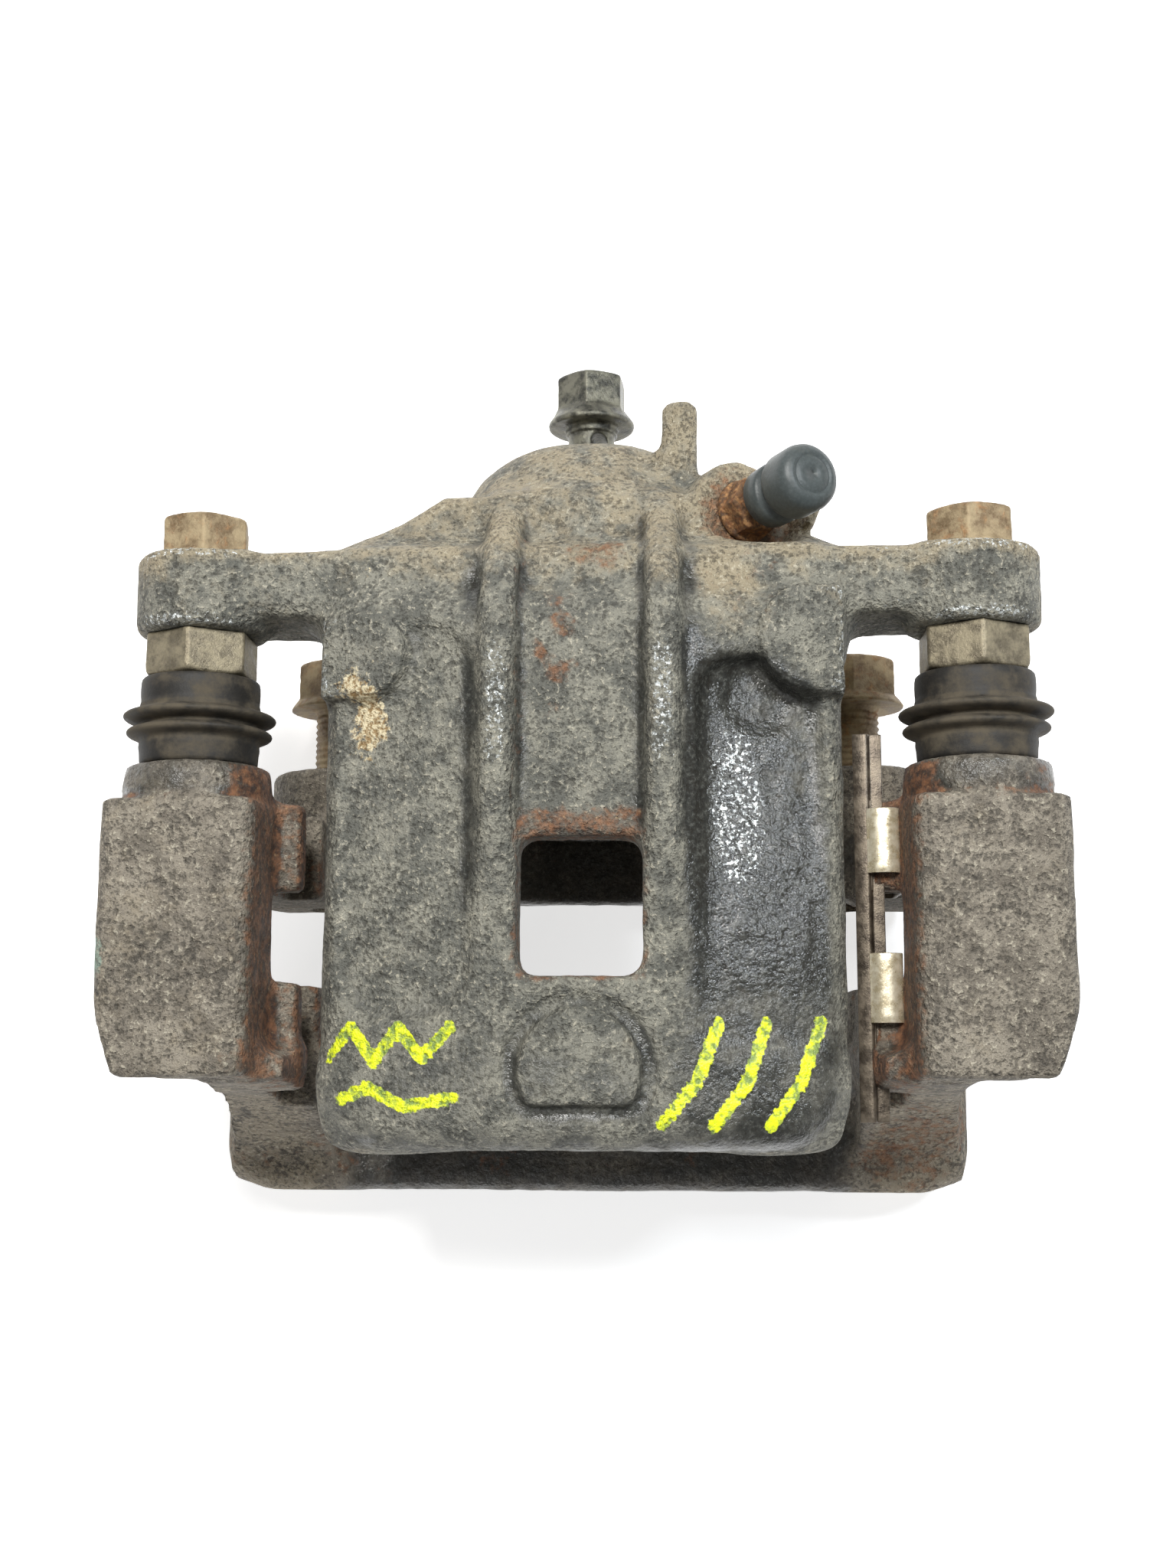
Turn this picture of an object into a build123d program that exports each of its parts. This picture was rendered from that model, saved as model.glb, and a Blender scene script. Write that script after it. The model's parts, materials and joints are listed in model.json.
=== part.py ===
"""Single-piston floating brake caliper on its carrier bracket.

Millimetres. +X runs along the disc's edge, +Y inboard (towards the cylinder), +Z away from the wheel's
axle. z = 0 is the plane of the lowest faces, and the origin is the middle of the footprint.
Stations along Y are given from the disc's middle plane, through across() and disc_y.
"""

import os
from math import pi, sin, sqrt

from build123d import *

os.makedirs("parts", exist_ok=True)

# ---------------------------------------------------------------- driving dimensions
# Disc and wheel that the caliper straddles
disc_radius = 131.0
disc_clearance = 3.0
disc_slot = 15.0
disc_top = 65.0

# Reach from the disc's middle plane to the outermost faces
tie_reach = 45.7
banjo_head_reach = 108.3
disc_y = (tie_reach - banjo_head_reach) / 2

# Guide pins
pin_spacing = 132.2
pin_z = 62.0
pin_diameter = 10.0
pin_tip = -12.0
pin_hex_flats = 17.0
pin_hex_length = 7.6
guide_bolt_diameter = 8.0
guide_bolt_flats = 14.0
guide_bolt_head = 7.2
guide_bolt_grip = 19.0
running_clearance = 0.05
thread_clearance = 0.02
bush_length = 12.0
bush_tip = 2.0
bush_wall = 1.18
bush_clearance = 0.02

# Carrier towers, legs, lugs and tie bar
tower_inner_wall = 12.6
tower_outer_wall = 13.2
tower_outboard = 23.5
tower_inboard = 22.0
tower_top = 75.0
tower_bottom = 47.0
tower_chamfer = 11.4
tower_chamfer_side = 4.3
collar_diameter = 24.4
collar_length = 6.4
leg_inset = 17.1
leg_outboard = 23.5
leg_inboard = 23.2
leg_foot = 16.0
notch_low = 40.0
notch_high = 52.0
notch_depth = 6.0
leg_ledge = 5.0
lug_spacing = 100.0
lug_radius = 14.0
lug_face = 34.3
beam_height = 15.0
beam_arch = 7.0
beam_start = 8.9
beam_end = 22.3
tie_overhang = 3.4
tie_corner = 12.0
tie_height = 19.0
tie_inner = 28.5
tie_chamfer = 2.5

# Mounting bolts
mount_thread = 12.0
mount_flats = 17.0
mount_head = 7.9
mount_flange = 22.0
mount_flange_thickness = 1.6
mount_unscrewed = 13.0
mount_bolt_tip = 10.0

# Rubber pin boots
boot_lip_diameter = 20.0
boot_lip_length = 3.0
boot_ring_diameter = 25.8
boot_ring_length = 3.75
boot_neck_diameter = 20.3
boot_neck_length = 4.7
boot_waist = 21.0
boot_bore = 16.0
boot_wall = 1.5
boot_plug = 2.6

# Caliper bridge and fingers
trim = 2.0
bridge_inset = 22.6
bridge_crown = 78.0
bridge_edge = 70.0
bridge_outboard = 35.0
bridge_inboard = 54.3
bridge_corner = 11.0
bridge_rim = 5.0
finger_thickness = 14.3
finger_bottom = 24.0
finger_inset = 3.5
finger_flare = 1.5
finger_cutout = 19.0
window_width = 20.0
window_outboard = -7.4
window_inboard = 14.8
window_corner = 3.0
rib_spacing = 26.8
rib_width = 6.0
rib_crest = 80.5
rib_start = 10.0
rib_end = 66.0
groove_width = 20.4
groove_depth = 2.0
marker_radius = 9.8
marker_flat = 5.4
marker_y = -22.3
marker_height = 0.8
left_lobe_radius = 6.5
right_lobe_radius = 7.5
lobe_inset = 8.5
lobe_y = 45.3
lobe_height = 1.8
channel_x = 28.0
channel_radius = 17.0
channel_depth = 3.0
channel_start = -12.0
channel_length = 50.0

# Cylinder, piston and seals
bore_z = 34.0
piston_diameter = 38.0
piston_length = 45.0
piston_wall = 4.0
piston_floor = 5.0
piston_rest = 27.3
piston_stroke = 18.0
cylinder_face = 29.3
cylinder_end = 91.7
cylinder_wall = 8.0
cylinder_taper = 2.4
dome_radius = 15.0
port_radius = 8.6
chamber_end = 80.0
boot_seat_wall = 5.4
boot_seat_depth = 5.5
seal_start = 40.0
seal_width = 3.0
seal_thickness = 2.5
piston_groove_start = 3.4
piston_groove_width = 3.0
piston_groove_depth = 1.4
snap_wire = 1.4
snap_opening = 5.0
seal_side_gap = 0.1
dust_bead = 3.4
dust_wall = 0.9

# Arms and ears
arm_outboard = 53.2
arm_inboard = 64.8
arm_bottom = 49.0
arm_top = 70.0
ear_radius = 11.4
ear_outboard = 51.2

# Hose bolt and casting peg
banjo_thread = 10.0
banjo_flats = 12.0
banjo_flange = 16.5
banjo_flange_thickness = 1.8
banjo_head = 8.2
banjo_shank = 17.0
banjo_drilling = 4.0
banjo_cross_hole = 3.2
peg_x = 16.5
peg_width = 6.8
peg_reach = 96.3
peg_z = 52.0

# Bleeder: its seat on the casting and the direction that it points in
bleeder_at = (27.8, 74.0, 58.0)
bleeder_points = (0.50, 0.03, 0.865)
bleeder_boss_radius = 8.6
bleeder_thread = 8.0
bleeder_flats = 9.0
bleeder_hex_height = 5.0
bleeder_depth = 13.0
nipple_diameter = 6.4
nipple_length = 11.6
bleeder_passage = 3.0
passage_depth = 24.0
cap_diameter = 11.6
cap_start = 7.6
cap_length = 13.6
cap_wall_end = 1.8
tab_width = 6.0
tab_thickness = 3.4

# Pad clip, bent from sheet
sheet = 0.6
clip_gap = 0.15
spine_width = 3.4
spine_outboard = -31.0
spine_inboard = 34.5
tab_outboard_start = -14.6
tab_outboard_end = -3.0
tab_inboard_start = 10.5
tab_inboard_end = 21.5
clip_lip = 5.0
foot_drop = 7.0

# ---------------------------------------------------------------- derived sizes
axle_z = disc_top - disc_radius
disc_arch = disc_radius + disc_clearance
pin_bore = pin_diameter / 2 + running_clearance
pin_x = pin_spacing / 2
tower_in = pin_x - tower_inner_wall
tower_out = pin_x + tower_outer_wall
leg_face = pin_x - leg_inset
tie_half = pin_x + tie_overhang
bridge_half = pin_x - bridge_inset
finger_half = bridge_half - finger_inset
lobe_x = bridge_half - lobe_inset
tower_end = tower_inboard + collar_length
boot_length = boot_lip_length + 2 * boot_ring_length + boot_neck_length
hex_start = tower_end + boot_length
hex_end = hex_start + pin_hex_length
piston_radius = piston_diameter / 2
cylinder_radius_front = piston_radius + cylinder_wall
cylinder_radius_back = cylinder_radius_front - cylinder_taper
boot_seat_radius = piston_radius + boot_seat_wall
bush_diameter = pin_diameter - 2 * bush_clearance
bush_bore = bush_diameter - 2 * bush_wall
bore_radius = piston_radius + running_clearance


def across(y):
    """Upright plane y inboard of the disc's middle: its axes are X and Z, and it faces outboard."""
    return Plane.XZ.offset(-(disc_y + y))


def along(x):
    """Upright plane at x: its axes are Y and Z, and it faces +X."""
    return Plane.YZ.offset(x)


def arch_height(x):
    """Height of the bridge's underside, an arch around the axle, at x."""
    return axle_z + sqrt(disc_arch**2 - x**2)


def roof_height(x):
    """Height of the bridge's outer face at x."""
    sag = bridge_crown - bridge_edge
    roof_radius = (bridge_half**2 + sag**2) / (2 * sag)
    return bridge_crown - roof_radius + sqrt(roof_radius**2 - x**2)


# ---------------------------------------------------------------- carrier bracket
with BuildPart() as carrier:
    for side in (-1, 1):
        # Tower around the guide pin's bore, over the disc's edge
        with BuildSketch(across(-tower_outboard)) as tower_section:
            with Locations((side * (tower_in + tower_out) / 2, (tower_bottom + tower_top) / 2)):
                Rectangle(tower_out - tower_in, tower_top - tower_bottom)
            fillet(tower_section.vertices().group_by(Axis.Y)[-1], 7)
            fillet(tower_section.vertices().group_by(Axis.Y)[0], 4)
        extrude(amount=-(tower_outboard + tower_inboard))
        # Turned collar at the mouth of the bore, which carries the boot
        with BuildSketch(across(tower_inboard)):
            with Locations((side * pin_x, pin_z)):
                Circle(collar_diameter / 2)
        extrude(amount=-collar_length)
        # Abutment legs on both sides of the disc
        for leg_start, leg_end in ((-leg_outboard, -disc_slot / 2), (disc_slot / 2, leg_inboard)):
            with BuildSketch(across(leg_start)):
                Polygon(
                    (side * leg_face, leg_foot - 8),
                    (side * leg_face, notch_high + leg_ledge),
                    (side * (tower_in + 2), notch_high + leg_ledge),
                    (side * (tower_out - 4), tower_bottom + 6),
                    (side * (tower_out - 9), tower_bottom - 6),
                    (side * (leg_face + 15), leg_foot),
                    (side * (leg_face + 14), leg_foot - 8),
                    align=None,
                )
            extrude(amount=leg_start - leg_end)
        # Gusset from the tower's end down to the tie bar
        gusset_in = leg_face
        with BuildSketch(along(side * gusset_in)):
            with BuildLine():
                foot = (disc_y - tie_reach + 3, tie_height - 3)
                head = (disc_y - tower_outboard + 1, tower_top - 9)
                RadiusArc(foot, head, 62)
                Polyline(head, (head[0], tie_height - 12), (foot[0], tie_height - 12), foot)
            make_face()
        extrude(amount=side * (tie_half - gusset_in - 1))
        # Lug for the mounting bolt
        with BuildSketch(across(beam_start)):
            with Locations((side * lug_spacing / 2, lug_radius)):
                Circle(lug_radius)
        extrude(amount=-(lug_face - beam_start))
    # Beam between the lugs, arched underneath
    with BuildSketch(across(beam_start)):
        with BuildLine():
            Polyline(
                (-lug_spacing / 2, 0),
                (-lug_spacing / 2, beam_height),
                (lug_spacing / 2, beam_height),
                (lug_spacing / 2, 0),
                (lug_spacing / 2 - 10, 0),
            )
            ThreePointArc(
                (lug_spacing / 2 - 10, 0), (0, beam_arch), (10 - lug_spacing / 2, 0)
            )
            Line((10 - lug_spacing / 2, 0), (-lug_spacing / 2, 0))
        make_face()
    extrude(amount=-(beam_end - beam_start))
    # Tie bar outboard of the fingers
    with BuildSketch(Plane.XY) as tie_plan:
        with BuildLine():
            Polyline(
                (-tie_half, disc_y - disc_slot / 2 - 3),
                (-tie_half, disc_y - tie_reach),
                (tie_half, disc_y - tie_reach),
                (tie_half, disc_y - disc_slot / 2 - 3),
                (leg_face + 12, disc_y - disc_slot / 2),
                (leg_face, disc_y - disc_slot / 2),
                (leg_face, disc_y - tie_inner),
                (-leg_face, disc_y - tie_inner),
                (-leg_face, disc_y - disc_slot / 2),
                (-leg_face - 12, disc_y - disc_slot / 2),
                close=True,
            )
        make_face()
        fillet(tie_plan.vertices().group_by(Axis.Y)[0], tie_corner)
    tie_bar = extrude(amount=tie_height)
    # Rounded outboard edges of the tie bar
    rim = carrier.edges().filter_by_position(Axis.Z, tie_height - 0.1, tie_height + 0.1)
    chamfer(rim.filter_by(Axis.X).sort_by(Axis.Y)[0], tie_chamfer)
    # Sloping outer corners at the outboard ends of the towers
    with BuildSketch(Plane.XY):
        for side in (-1, 1):
            Polygon(
                (side * (tower_out + 1), disc_y - tower_outboard - 1),
                (side * (tower_out - tower_chamfer_side), disc_y - tower_outboard - 1),
                (side * (tower_out - tower_chamfer_side), disc_y - tower_outboard),
                (side * tower_out, disc_y - tower_outboard + tower_chamfer),
                (side * (tower_out + 1), disc_y - tower_outboard + tower_chamfer),
                align=None,
            )
    extrude(amount=tower_top + 1, mode=Mode.SUBTRACT)
    # Room for the disc, and for the caliper body between the legs
    with BuildSketch(across(-disc_slot / 2)):
        with Locations((0, axle_z)):
            Circle(disc_arch)
    extrude(amount=-disc_slot, mode=Mode.SUBTRACT)
    for side in (-1, 1):
        # Notches that the pads' ears slide in
        with BuildSketch(across(-leg_outboard - 8)):
            with Locations((side * (leg_face + notch_depth / 2 - 1), (notch_low + notch_high) / 2)):
                Rectangle(notch_depth + 2, notch_high - notch_low)
        extrude(amount=-(leg_outboard + 8 + leg_inboard + 1), mode=Mode.SUBTRACT)
        # Blind bore for the guide pin
        with BuildSketch(across(tower_end)):
            with Locations((side * pin_x, pin_z)):
                Circle(pin_bore)
        extrude(amount=tower_end + tower_outboard - 4, mode=Mode.SUBTRACT)
        # Mouth of the bore, where the boot is pressed in
        with BuildSketch(across(tower_end)):
            with Locations((side * pin_x, pin_z)):
                Circle(boot_bore / 2)
        extrude(amount=3, mode=Mode.SUBTRACT)
        # Threaded hole for the mounting bolt
        with BuildSketch(across(lug_face)):
            with Locations((side * lug_spacing / 2, lug_radius)):
                Circle(mount_thread / 2 + thread_clearance)
        extrude(amount=lug_face - disc_slot / 2, mode=Mode.SUBTRACT)
carrier.part.label = "carrier"
export_step(carrier.part, "parts/carrier.step")

# ---------------------------------------------------------------- caliper body
with BuildPart() as caliper_body:
    # Arched bridge over the disc and the pads, with spare length and width to trim
    blank = bridge_half + trim
    with BuildSketch(across(-bridge_outboard - trim)):
        with BuildLine():
            ThreePointArc((-blank, roof_height(blank)), (0, bridge_crown), (blank, roof_height(blank)))
            Line((blank, roof_height(blank)), (blank, arch_height(blank)))
            ThreePointArc((blank, arch_height(blank)), (0, arch_height(0)), (-blank, arch_height(blank)))
            Line((-blank, arch_height(blank)), (-blank, roof_height(blank)))
        make_face()
    extrude(amount=-(bridge_outboard + bridge_inboard + 2 * trim))
    # Two fingers that press the outboard pad
    finger_top = arch_height(bridge_half) + 4
    with BuildSketch(across(-bridge_outboard - trim)) as finger_face:
        Polygon(
            (-finger_half, finger_bottom),
            (finger_half, finger_bottom),
            (finger_half + finger_flare, finger_top),
            (-finger_half - finger_flare, finger_top),
            align=None,
        )
        fillet(finger_face.vertices().group_by(Axis.Y)[0], 6)
        with Locations((0, bore_z)):
            Circle(finger_cutout, mode=Mode.SUBTRACT)
            Rectangle(
                2 * finger_cutout, bore_z, align=(Align.CENTER, Align.MAX), mode=Mode.SUBTRACT
            )
    extrude(amount=-(finger_thickness + trim))
    # The bridge's outline, with its rounded outboard corners
    with BuildSketch(Plane.XY) as bridge_plan:
        with Locations((0, disc_y + (bridge_inboard - bridge_outboard) / 2)):
            Rectangle(2 * bridge_half, bridge_outboard + bridge_inboard)
        fillet(bridge_plan.vertices().group_by(Axis.Y)[0], bridge_corner)
    extrude(amount=rib_crest, mode=Mode.INTERSECT)
    roof = caliper_body.faces().sort_by(Axis.Z)[-1]
    outboard_rim = roof.edges().filter_by_position(Axis.Y, disc_y - 2 * bridge_outboard, disc_y)
    fillet(outboard_rim, bridge_rim)
    # Cylinder with its domed end
    with BuildSketch(along(0)):
        with BuildLine():
            front = disc_y + cylinder_face
            end = disc_y + cylinder_end
            shoulder = end - dome_radius
            Polyline(
                (end, bore_z),
                (front, bore_z),
                (front, bore_z + cylinder_radius_front),
                (shoulder, bore_z + cylinder_radius_back),
            )
            ThreePointArc(
                (shoulder, bore_z + cylinder_radius_back),
                (
                    shoulder + dome_radius * sin(pi / 4),
                    bore_z + port_radius + (cylinder_radius_back - port_radius) * sin(pi / 4),
                ),
                (end, bore_z + port_radius),
            )
            Line((end, bore_z + port_radius), (end, bore_z))
        make_face()
    revolve(axis=Axis((0, 0, bore_z), (0, 1, 0)))
    # Neck that joins the cylinder to the bridge
    with BuildSketch(along(-bridge_half + 6)):
        Polygon(
            (disc_y + cylinder_face, bore_z + 6),
            (disc_y + cylinder_face, bridge_edge + 1),
            (disc_y + bridge_inboard, bridge_edge + 1),
            (disc_y + arm_inboard, bridge_edge - 3),
            (disc_y + arm_inboard, bore_z + 12),
            (disc_y + arm_outboard, bore_z + 6),
            align=None,
        )
    extrude(amount=2 * (bridge_half - 6))
    # Shoulders from the cylinder out to the arms
    with BuildSketch(Plane.XY.offset(arm_bottom)) as shoulder_plan:
        Polygon(
            (-bridge_half, disc_y + arm_outboard - 6),
            (bridge_half, disc_y + arm_outboard - 6),
            (bridge_half, disc_y + arm_inboard),
            (cylinder_radius_back, disc_y + cylinder_end - dome_radius),
            (-cylinder_radius_back, disc_y + cylinder_end - dome_radius),
            (-bridge_half, disc_y + arm_inboard),
            align=None,
        )
    extrude(amount=bore_z + cylinder_radius_back - arm_bottom + 3)
    # Arms and ears that hold the guide pins
    with BuildSketch(across(arm_outboard)):
        with Locations((0, (arm_bottom + arm_top) / 2)):
            Rectangle(pin_spacing, arm_top - arm_bottom)
    extrude(amount=-(arm_inboard - arm_outboard))
    with BuildSketch(across(ear_outboard)):
        with Locations((-pin_x, pin_z), (pin_x, pin_z)):
            Circle(ear_radius)
    extrude(amount=-(arm_inboard - ear_outboard))
    # Ribs over the bridge and down to the dome
    for side in (-1, 1):
        with BuildSketch(along(side * rib_spacing / 2 - rib_width / 2)):
            with BuildLine():
                low = bore_z + cylinder_radius_back - 2
                root = bridge_crown - 6
                bend = disc_y + bridge_inboard - 8
                start = (disc_y + rib_start, bridge_crown - 3)
                crest_start = (disc_y + rib_start + 16, rib_crest)
                crest_end = (bend, rib_crest)
                tail = (disc_y + cylinder_end - dome_radius, low)
                Polyline(start, crest_start, crest_end)
                TangentArc(crest_end, (disc_y + rib_end, bridge_edge), tangent=(1, 0))
                Polyline(
                    (disc_y + rib_end, bridge_edge),
                    tail,
                    (bend, low),
                    (bend, root),
                    (start[0], root),
                    start,
                )
            make_face()
        extrude(amount=rib_width)
    # Casting peg on the dome
    with BuildSketch(across(cylinder_end - dome_radius)):
        with Locations((peg_x, peg_z)):
            Circle(peg_width / 2)
    extrude(amount=-(peg_reach - cylinder_end + dome_radius))
    # Raised pads in the bridge's inboard corners, and the marker boss outboard
    with BuildSketch(Plane.XY.offset(roof_height(lobe_x) - 6)):
        for side, radius in ((-1, left_lobe_radius), (1, right_lobe_radius)):
            with Locations((side * lobe_x, disc_y + lobe_y)):
                Circle(radius)
    extrude(amount=6 + lobe_height)
    with BuildSketch(Plane.XY.offset(bridge_crown - 4)):
        with Locations((0, disc_y + marker_y)):
            Circle(marker_radius)
        with Locations((0, disc_y + marker_y - marker_flat)):
            Rectangle(
                2 * marker_radius,
                2 * marker_radius,
                align=(Align.CENTER, Align.MAX),
                mode=Mode.SUBTRACT,
            )
    extrude(amount=4 + marker_height)
    # Boss for the bleeder, with the stop tab beside it
    bleeder_plane = Plane(
        origin=(bleeder_at[0], disc_y + bleeder_at[1], bleeder_at[2]), z_dir=bleeder_points
    )
    with BuildSketch(bleeder_plane):
        Circle(bleeder_boss_radius)
    extrude(amount=-(bleeder_depth + 8))
    with BuildSketch(across(cylinder_end - dome_radius - 6)):
        with Locations((bleeder_at[0] + 9, arm_top - 14)):
            Rectangle(tab_width, 10)
    extrude(amount=-tab_thickness)
    with BuildSketch(Plane.XY.offset(arm_bottom + 1)):
        Polygon(
            (bleeder_at[0] - 8, disc_y + cylinder_end - dome_radius - 10),
            (bleeder_at[0] + 12, disc_y + arm_inboard - 4),
            (bleeder_at[0] + 12, disc_y + bleeder_at[1] - 1),
            (bleeder_at[0] - 8, disc_y + bleeder_at[1] + 6),
            align=None,
        )
    extrude(amount=7)
    # Clear the space above the bleeder's seat
    with BuildSketch(bleeder_plane):
        Circle(bleeder_boss_radius)
    extrude(amount=cap_start + cap_length + 5, mode=Mode.SUBTRACT)
    # Central groove and the channel beside the right-hand rib
    with BuildSketch(Plane.XY.offset(bridge_crown - groove_depth)):
        with Locations((0, disc_y + window_inboard)):
            Rectangle(groove_width, 60, align=(Align.CENTER, Align.MIN))
    extrude(amount=2 * groove_depth + marker_height, mode=Mode.SUBTRACT)
    with BuildSketch(across(channel_start)):
        with Locations((channel_x, roof_height(channel_x) - channel_depth + channel_radius)):
            Circle(channel_radius)
    extrude(amount=-channel_length, mode=Mode.SUBTRACT)
    # Inspection window
    with BuildSketch(Plane.XY.offset(arch_height(bridge_half))) as window:
        with Locations((0, disc_y + (window_outboard + window_inboard) / 2)):
            RectangleRounded(window_width, window_inboard - window_outboard, window_corner)
    extrude(amount=30, mode=Mode.SUBTRACT)
    # Piston bore, dust boot seat, seal groove and inlet port
    with BuildSketch(across(cylinder_face)):
        with Locations((0, bore_z)):
            Circle(bore_radius)
    extrude(amount=-(chamber_end - cylinder_face), mode=Mode.SUBTRACT)
    with BuildSketch(across(cylinder_face)):
        with Locations((0, bore_z)):
            Circle(boot_seat_radius)
    extrude(amount=-boot_seat_depth, mode=Mode.SUBTRACT)
    with BuildSketch(across(seal_start)):
        with Locations((0, bore_z)):
            Circle(bore_radius + seal_thickness)
    extrude(amount=-seal_width, mode=Mode.SUBTRACT)
    with BuildSketch(across(cylinder_end)):
        with Locations((0, bore_z)):
            Circle(banjo_thread / 2 + thread_clearance)
    extrude(amount=cylinder_end - chamber_end, mode=Mode.SUBTRACT)
    # Bleeder's hole
    with BuildSketch(bleeder_plane):
        Circle(bleeder_thread / 2 + thread_clearance)
    extrude(amount=-(bleeder_depth + 0.5), mode=Mode.SUBTRACT)
    with BuildSketch(bleeder_plane):
        Circle(bleeder_passage / 2)
    extrude(amount=-passage_depth, mode=Mode.SUBTRACT)
    # Guide bolt holes through the ears
    with BuildSketch(across(ear_outboard)):
        with Locations((-pin_x, pin_z), (pin_x, pin_z)):
            Circle(guide_bolt_diameter / 2 + thread_clearance)
    extrude(amount=-(arm_inboard - ear_outboard), mode=Mode.SUBTRACT)
caliper_body.part.label = "caliper_body"
export_step(caliper_body.part, "parts/caliper_body.step")

# ---------------------------------------------------------------- pins, bolts and boots, left and right
for side, name in ((-1, "left"), (1, "right")):
    pin_axis = Axis((side * pin_x, 0, pin_z), (0, 1, 0))

    with BuildPart() as guide_pin:
        with BuildSketch(across(hex_start)):
            with Locations((side * pin_x, pin_z)):
                RegularPolygon(pin_hex_flats / 2, 6, major_radius=False)
        extrude(amount=-pin_hex_length)
        with BuildSketch(across(hex_start)):
            with Locations((side * pin_x, pin_z)):
                Circle(pin_diameter / 2)
        extrude(amount=hex_start - pin_tip)
        if name == "right":
            # Waist that carries the rubber bush, behind a full-diameter tip
            with BuildSketch(across(pin_tip + bush_tip)):
                with Locations((side * pin_x, pin_z)):
                    Circle(pin_diameter / 2)
                    Circle(bush_bore / 2, mode=Mode.SUBTRACT)
            extrude(amount=-bush_length, mode=Mode.SUBTRACT)
        with BuildSketch(across(hex_end)):
            with Locations((side * pin_x, pin_z)):
                Circle(guide_bolt_diameter / 2 + thread_clearance)
        extrude(amount=pin_hex_length - 1, mode=Mode.SUBTRACT)
    guide_pin.part.label = f"guide_pin_{name}"
    export_step(guide_pin.part, f"parts/guide_pin_{name}.step")

    with BuildPart() as guide_bolt:
        with BuildSketch(across(arm_inboard)):
            with Locations((side * pin_x, pin_z)):
                RegularPolygon(guide_bolt_flats / 2, 6, major_radius=False)
        extrude(amount=-guide_bolt_head)
        with BuildSketch(across(arm_inboard)):
            with Locations((side * pin_x, pin_z)):
                Circle(guide_bolt_diameter / 2)
        extrude(amount=guide_bolt_grip)
    guide_bolt.part.label = f"guide_bolt_{name}"
    export_step(guide_bolt.part, f"parts/guide_bolt_{name}.step")

    with BuildPart() as pin_boot:
        with BuildSketch(along(side * pin_x)):
            with BuildLine():
                lip = disc_y + tower_end
                ring = lip + boot_lip_length
                neck = ring + 2 * boot_ring_length
                end = neck + boot_neck_length
                neck_bore = pin_z + pin_diameter / 2 + running_clearance
                tube_bore = pin_z + boot_bore / 2 - boot_wall
                Polyline(
                    (lip - boot_plug, tube_bore),
                    (lip - boot_plug, pin_z + boot_bore / 2 - running_clearance),
                    (lip, pin_z + boot_bore / 2 - running_clearance),
                    (lip, pin_z + boot_lip_diameter / 2),
                    (ring, pin_z + boot_lip_diameter / 2),
                    (ring + boot_ring_length / 2, pin_z + boot_ring_diameter / 2),
                    (ring + boot_ring_length, pin_z + boot_waist / 2),
                    (ring + boot_ring_length * 1.5, pin_z + boot_ring_diameter / 2),
                    (neck, pin_z + boot_neck_diameter / 2),
                    (end, pin_z + boot_neck_diameter / 2),
                    (end, neck_bore),
                    (neck + boot_neck_length / 3, neck_bore),
                    (neck, tube_bore + 1),
                    (ring + boot_ring_length * 1.5, pin_z + boot_ring_diameter / 2 - boot_wall),
                    (ring + boot_ring_length, pin_z + boot_waist / 2 - boot_wall),
                    (ring + boot_ring_length / 2, pin_z + boot_ring_diameter / 2 - boot_wall),
                    (ring, tube_bore),
                    (lip - boot_plug, tube_bore),
                )
            make_face()
        revolve(axis=pin_axis)
    pin_boot.part.label = f"pin_boot_{name}"
    export_step(pin_boot.part, f"parts/pin_boot_{name}.step")

    with BuildPart() as mounting_bolt:
        head_seat = lug_face + mount_unscrewed
        with BuildSketch(across(head_seat)):
            with Locations((side * lug_spacing / 2, lug_radius)):
                Circle(mount_flange / 2)
        extrude(amount=-mount_flange_thickness)
        with BuildSketch(across(head_seat + mount_flange_thickness)):
            with Locations((side * lug_spacing / 2, lug_radius)):
                RegularPolygon(mount_flats / 2, 6, major_radius=False)
        extrude(amount=-mount_head)
        with BuildSketch(across(head_seat)):
            with Locations((side * lug_spacing / 2, lug_radius)):
                Circle(mount_thread / 2)
        extrude(amount=head_seat - mount_bolt_tip)
    mounting_bolt.part.label = f"mounting_bolt_{name}"
    export_step(mounting_bolt.part, f"parts/mounting_bolt_{name}.step")

with BuildPart() as pin_bush_right:
    with BuildSketch(across(pin_tip + bush_tip)):
        with Locations((pin_x, pin_z)):
            Circle(bush_diameter / 2)
            Circle(bush_bore / 2 + thread_clearance, mode=Mode.SUBTRACT)
    extrude(amount=-bush_length)
pin_bush_right.part.label = "pin_bush_right"
export_step(pin_bush_right.part, "parts/pin_bush_right.step")

# ---------------------------------------------------------------- piston and its rubber
with BuildPart() as piston:
    with BuildSketch(across(piston_rest)):
        with Locations((0, bore_z)):
            Circle(piston_radius)
    extrude(amount=-piston_length)
    with BuildSketch(across(piston_rest)):
        with Locations((0, bore_z)):
            Circle(piston_radius - piston_wall)
    extrude(amount=-(piston_length - piston_floor), mode=Mode.SUBTRACT)
    with BuildSketch(across(piston_rest + piston_groove_start)):
        with Locations((0, bore_z)):
            Circle(piston_radius)
            Circle(piston_radius - piston_groove_depth, mode=Mode.SUBTRACT)
    extrude(amount=-piston_groove_width, mode=Mode.SUBTRACT)
piston.part.label = "piston"
export_step(piston.part, "parts/piston.step")

with BuildPart() as piston_seal:
    with BuildSketch(across(seal_start + seal_side_gap)):
        with Locations((0, bore_z)):
            Circle(bore_radius + seal_thickness - seal_side_gap)
            Circle(piston_radius + thread_clearance, mode=Mode.SUBTRACT)
    extrude(amount=-(seal_width - 2 * seal_side_gap))
piston_seal.part.label = "piston_seal"
export_step(piston_seal.part, "parts/piston_seal.step")

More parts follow.
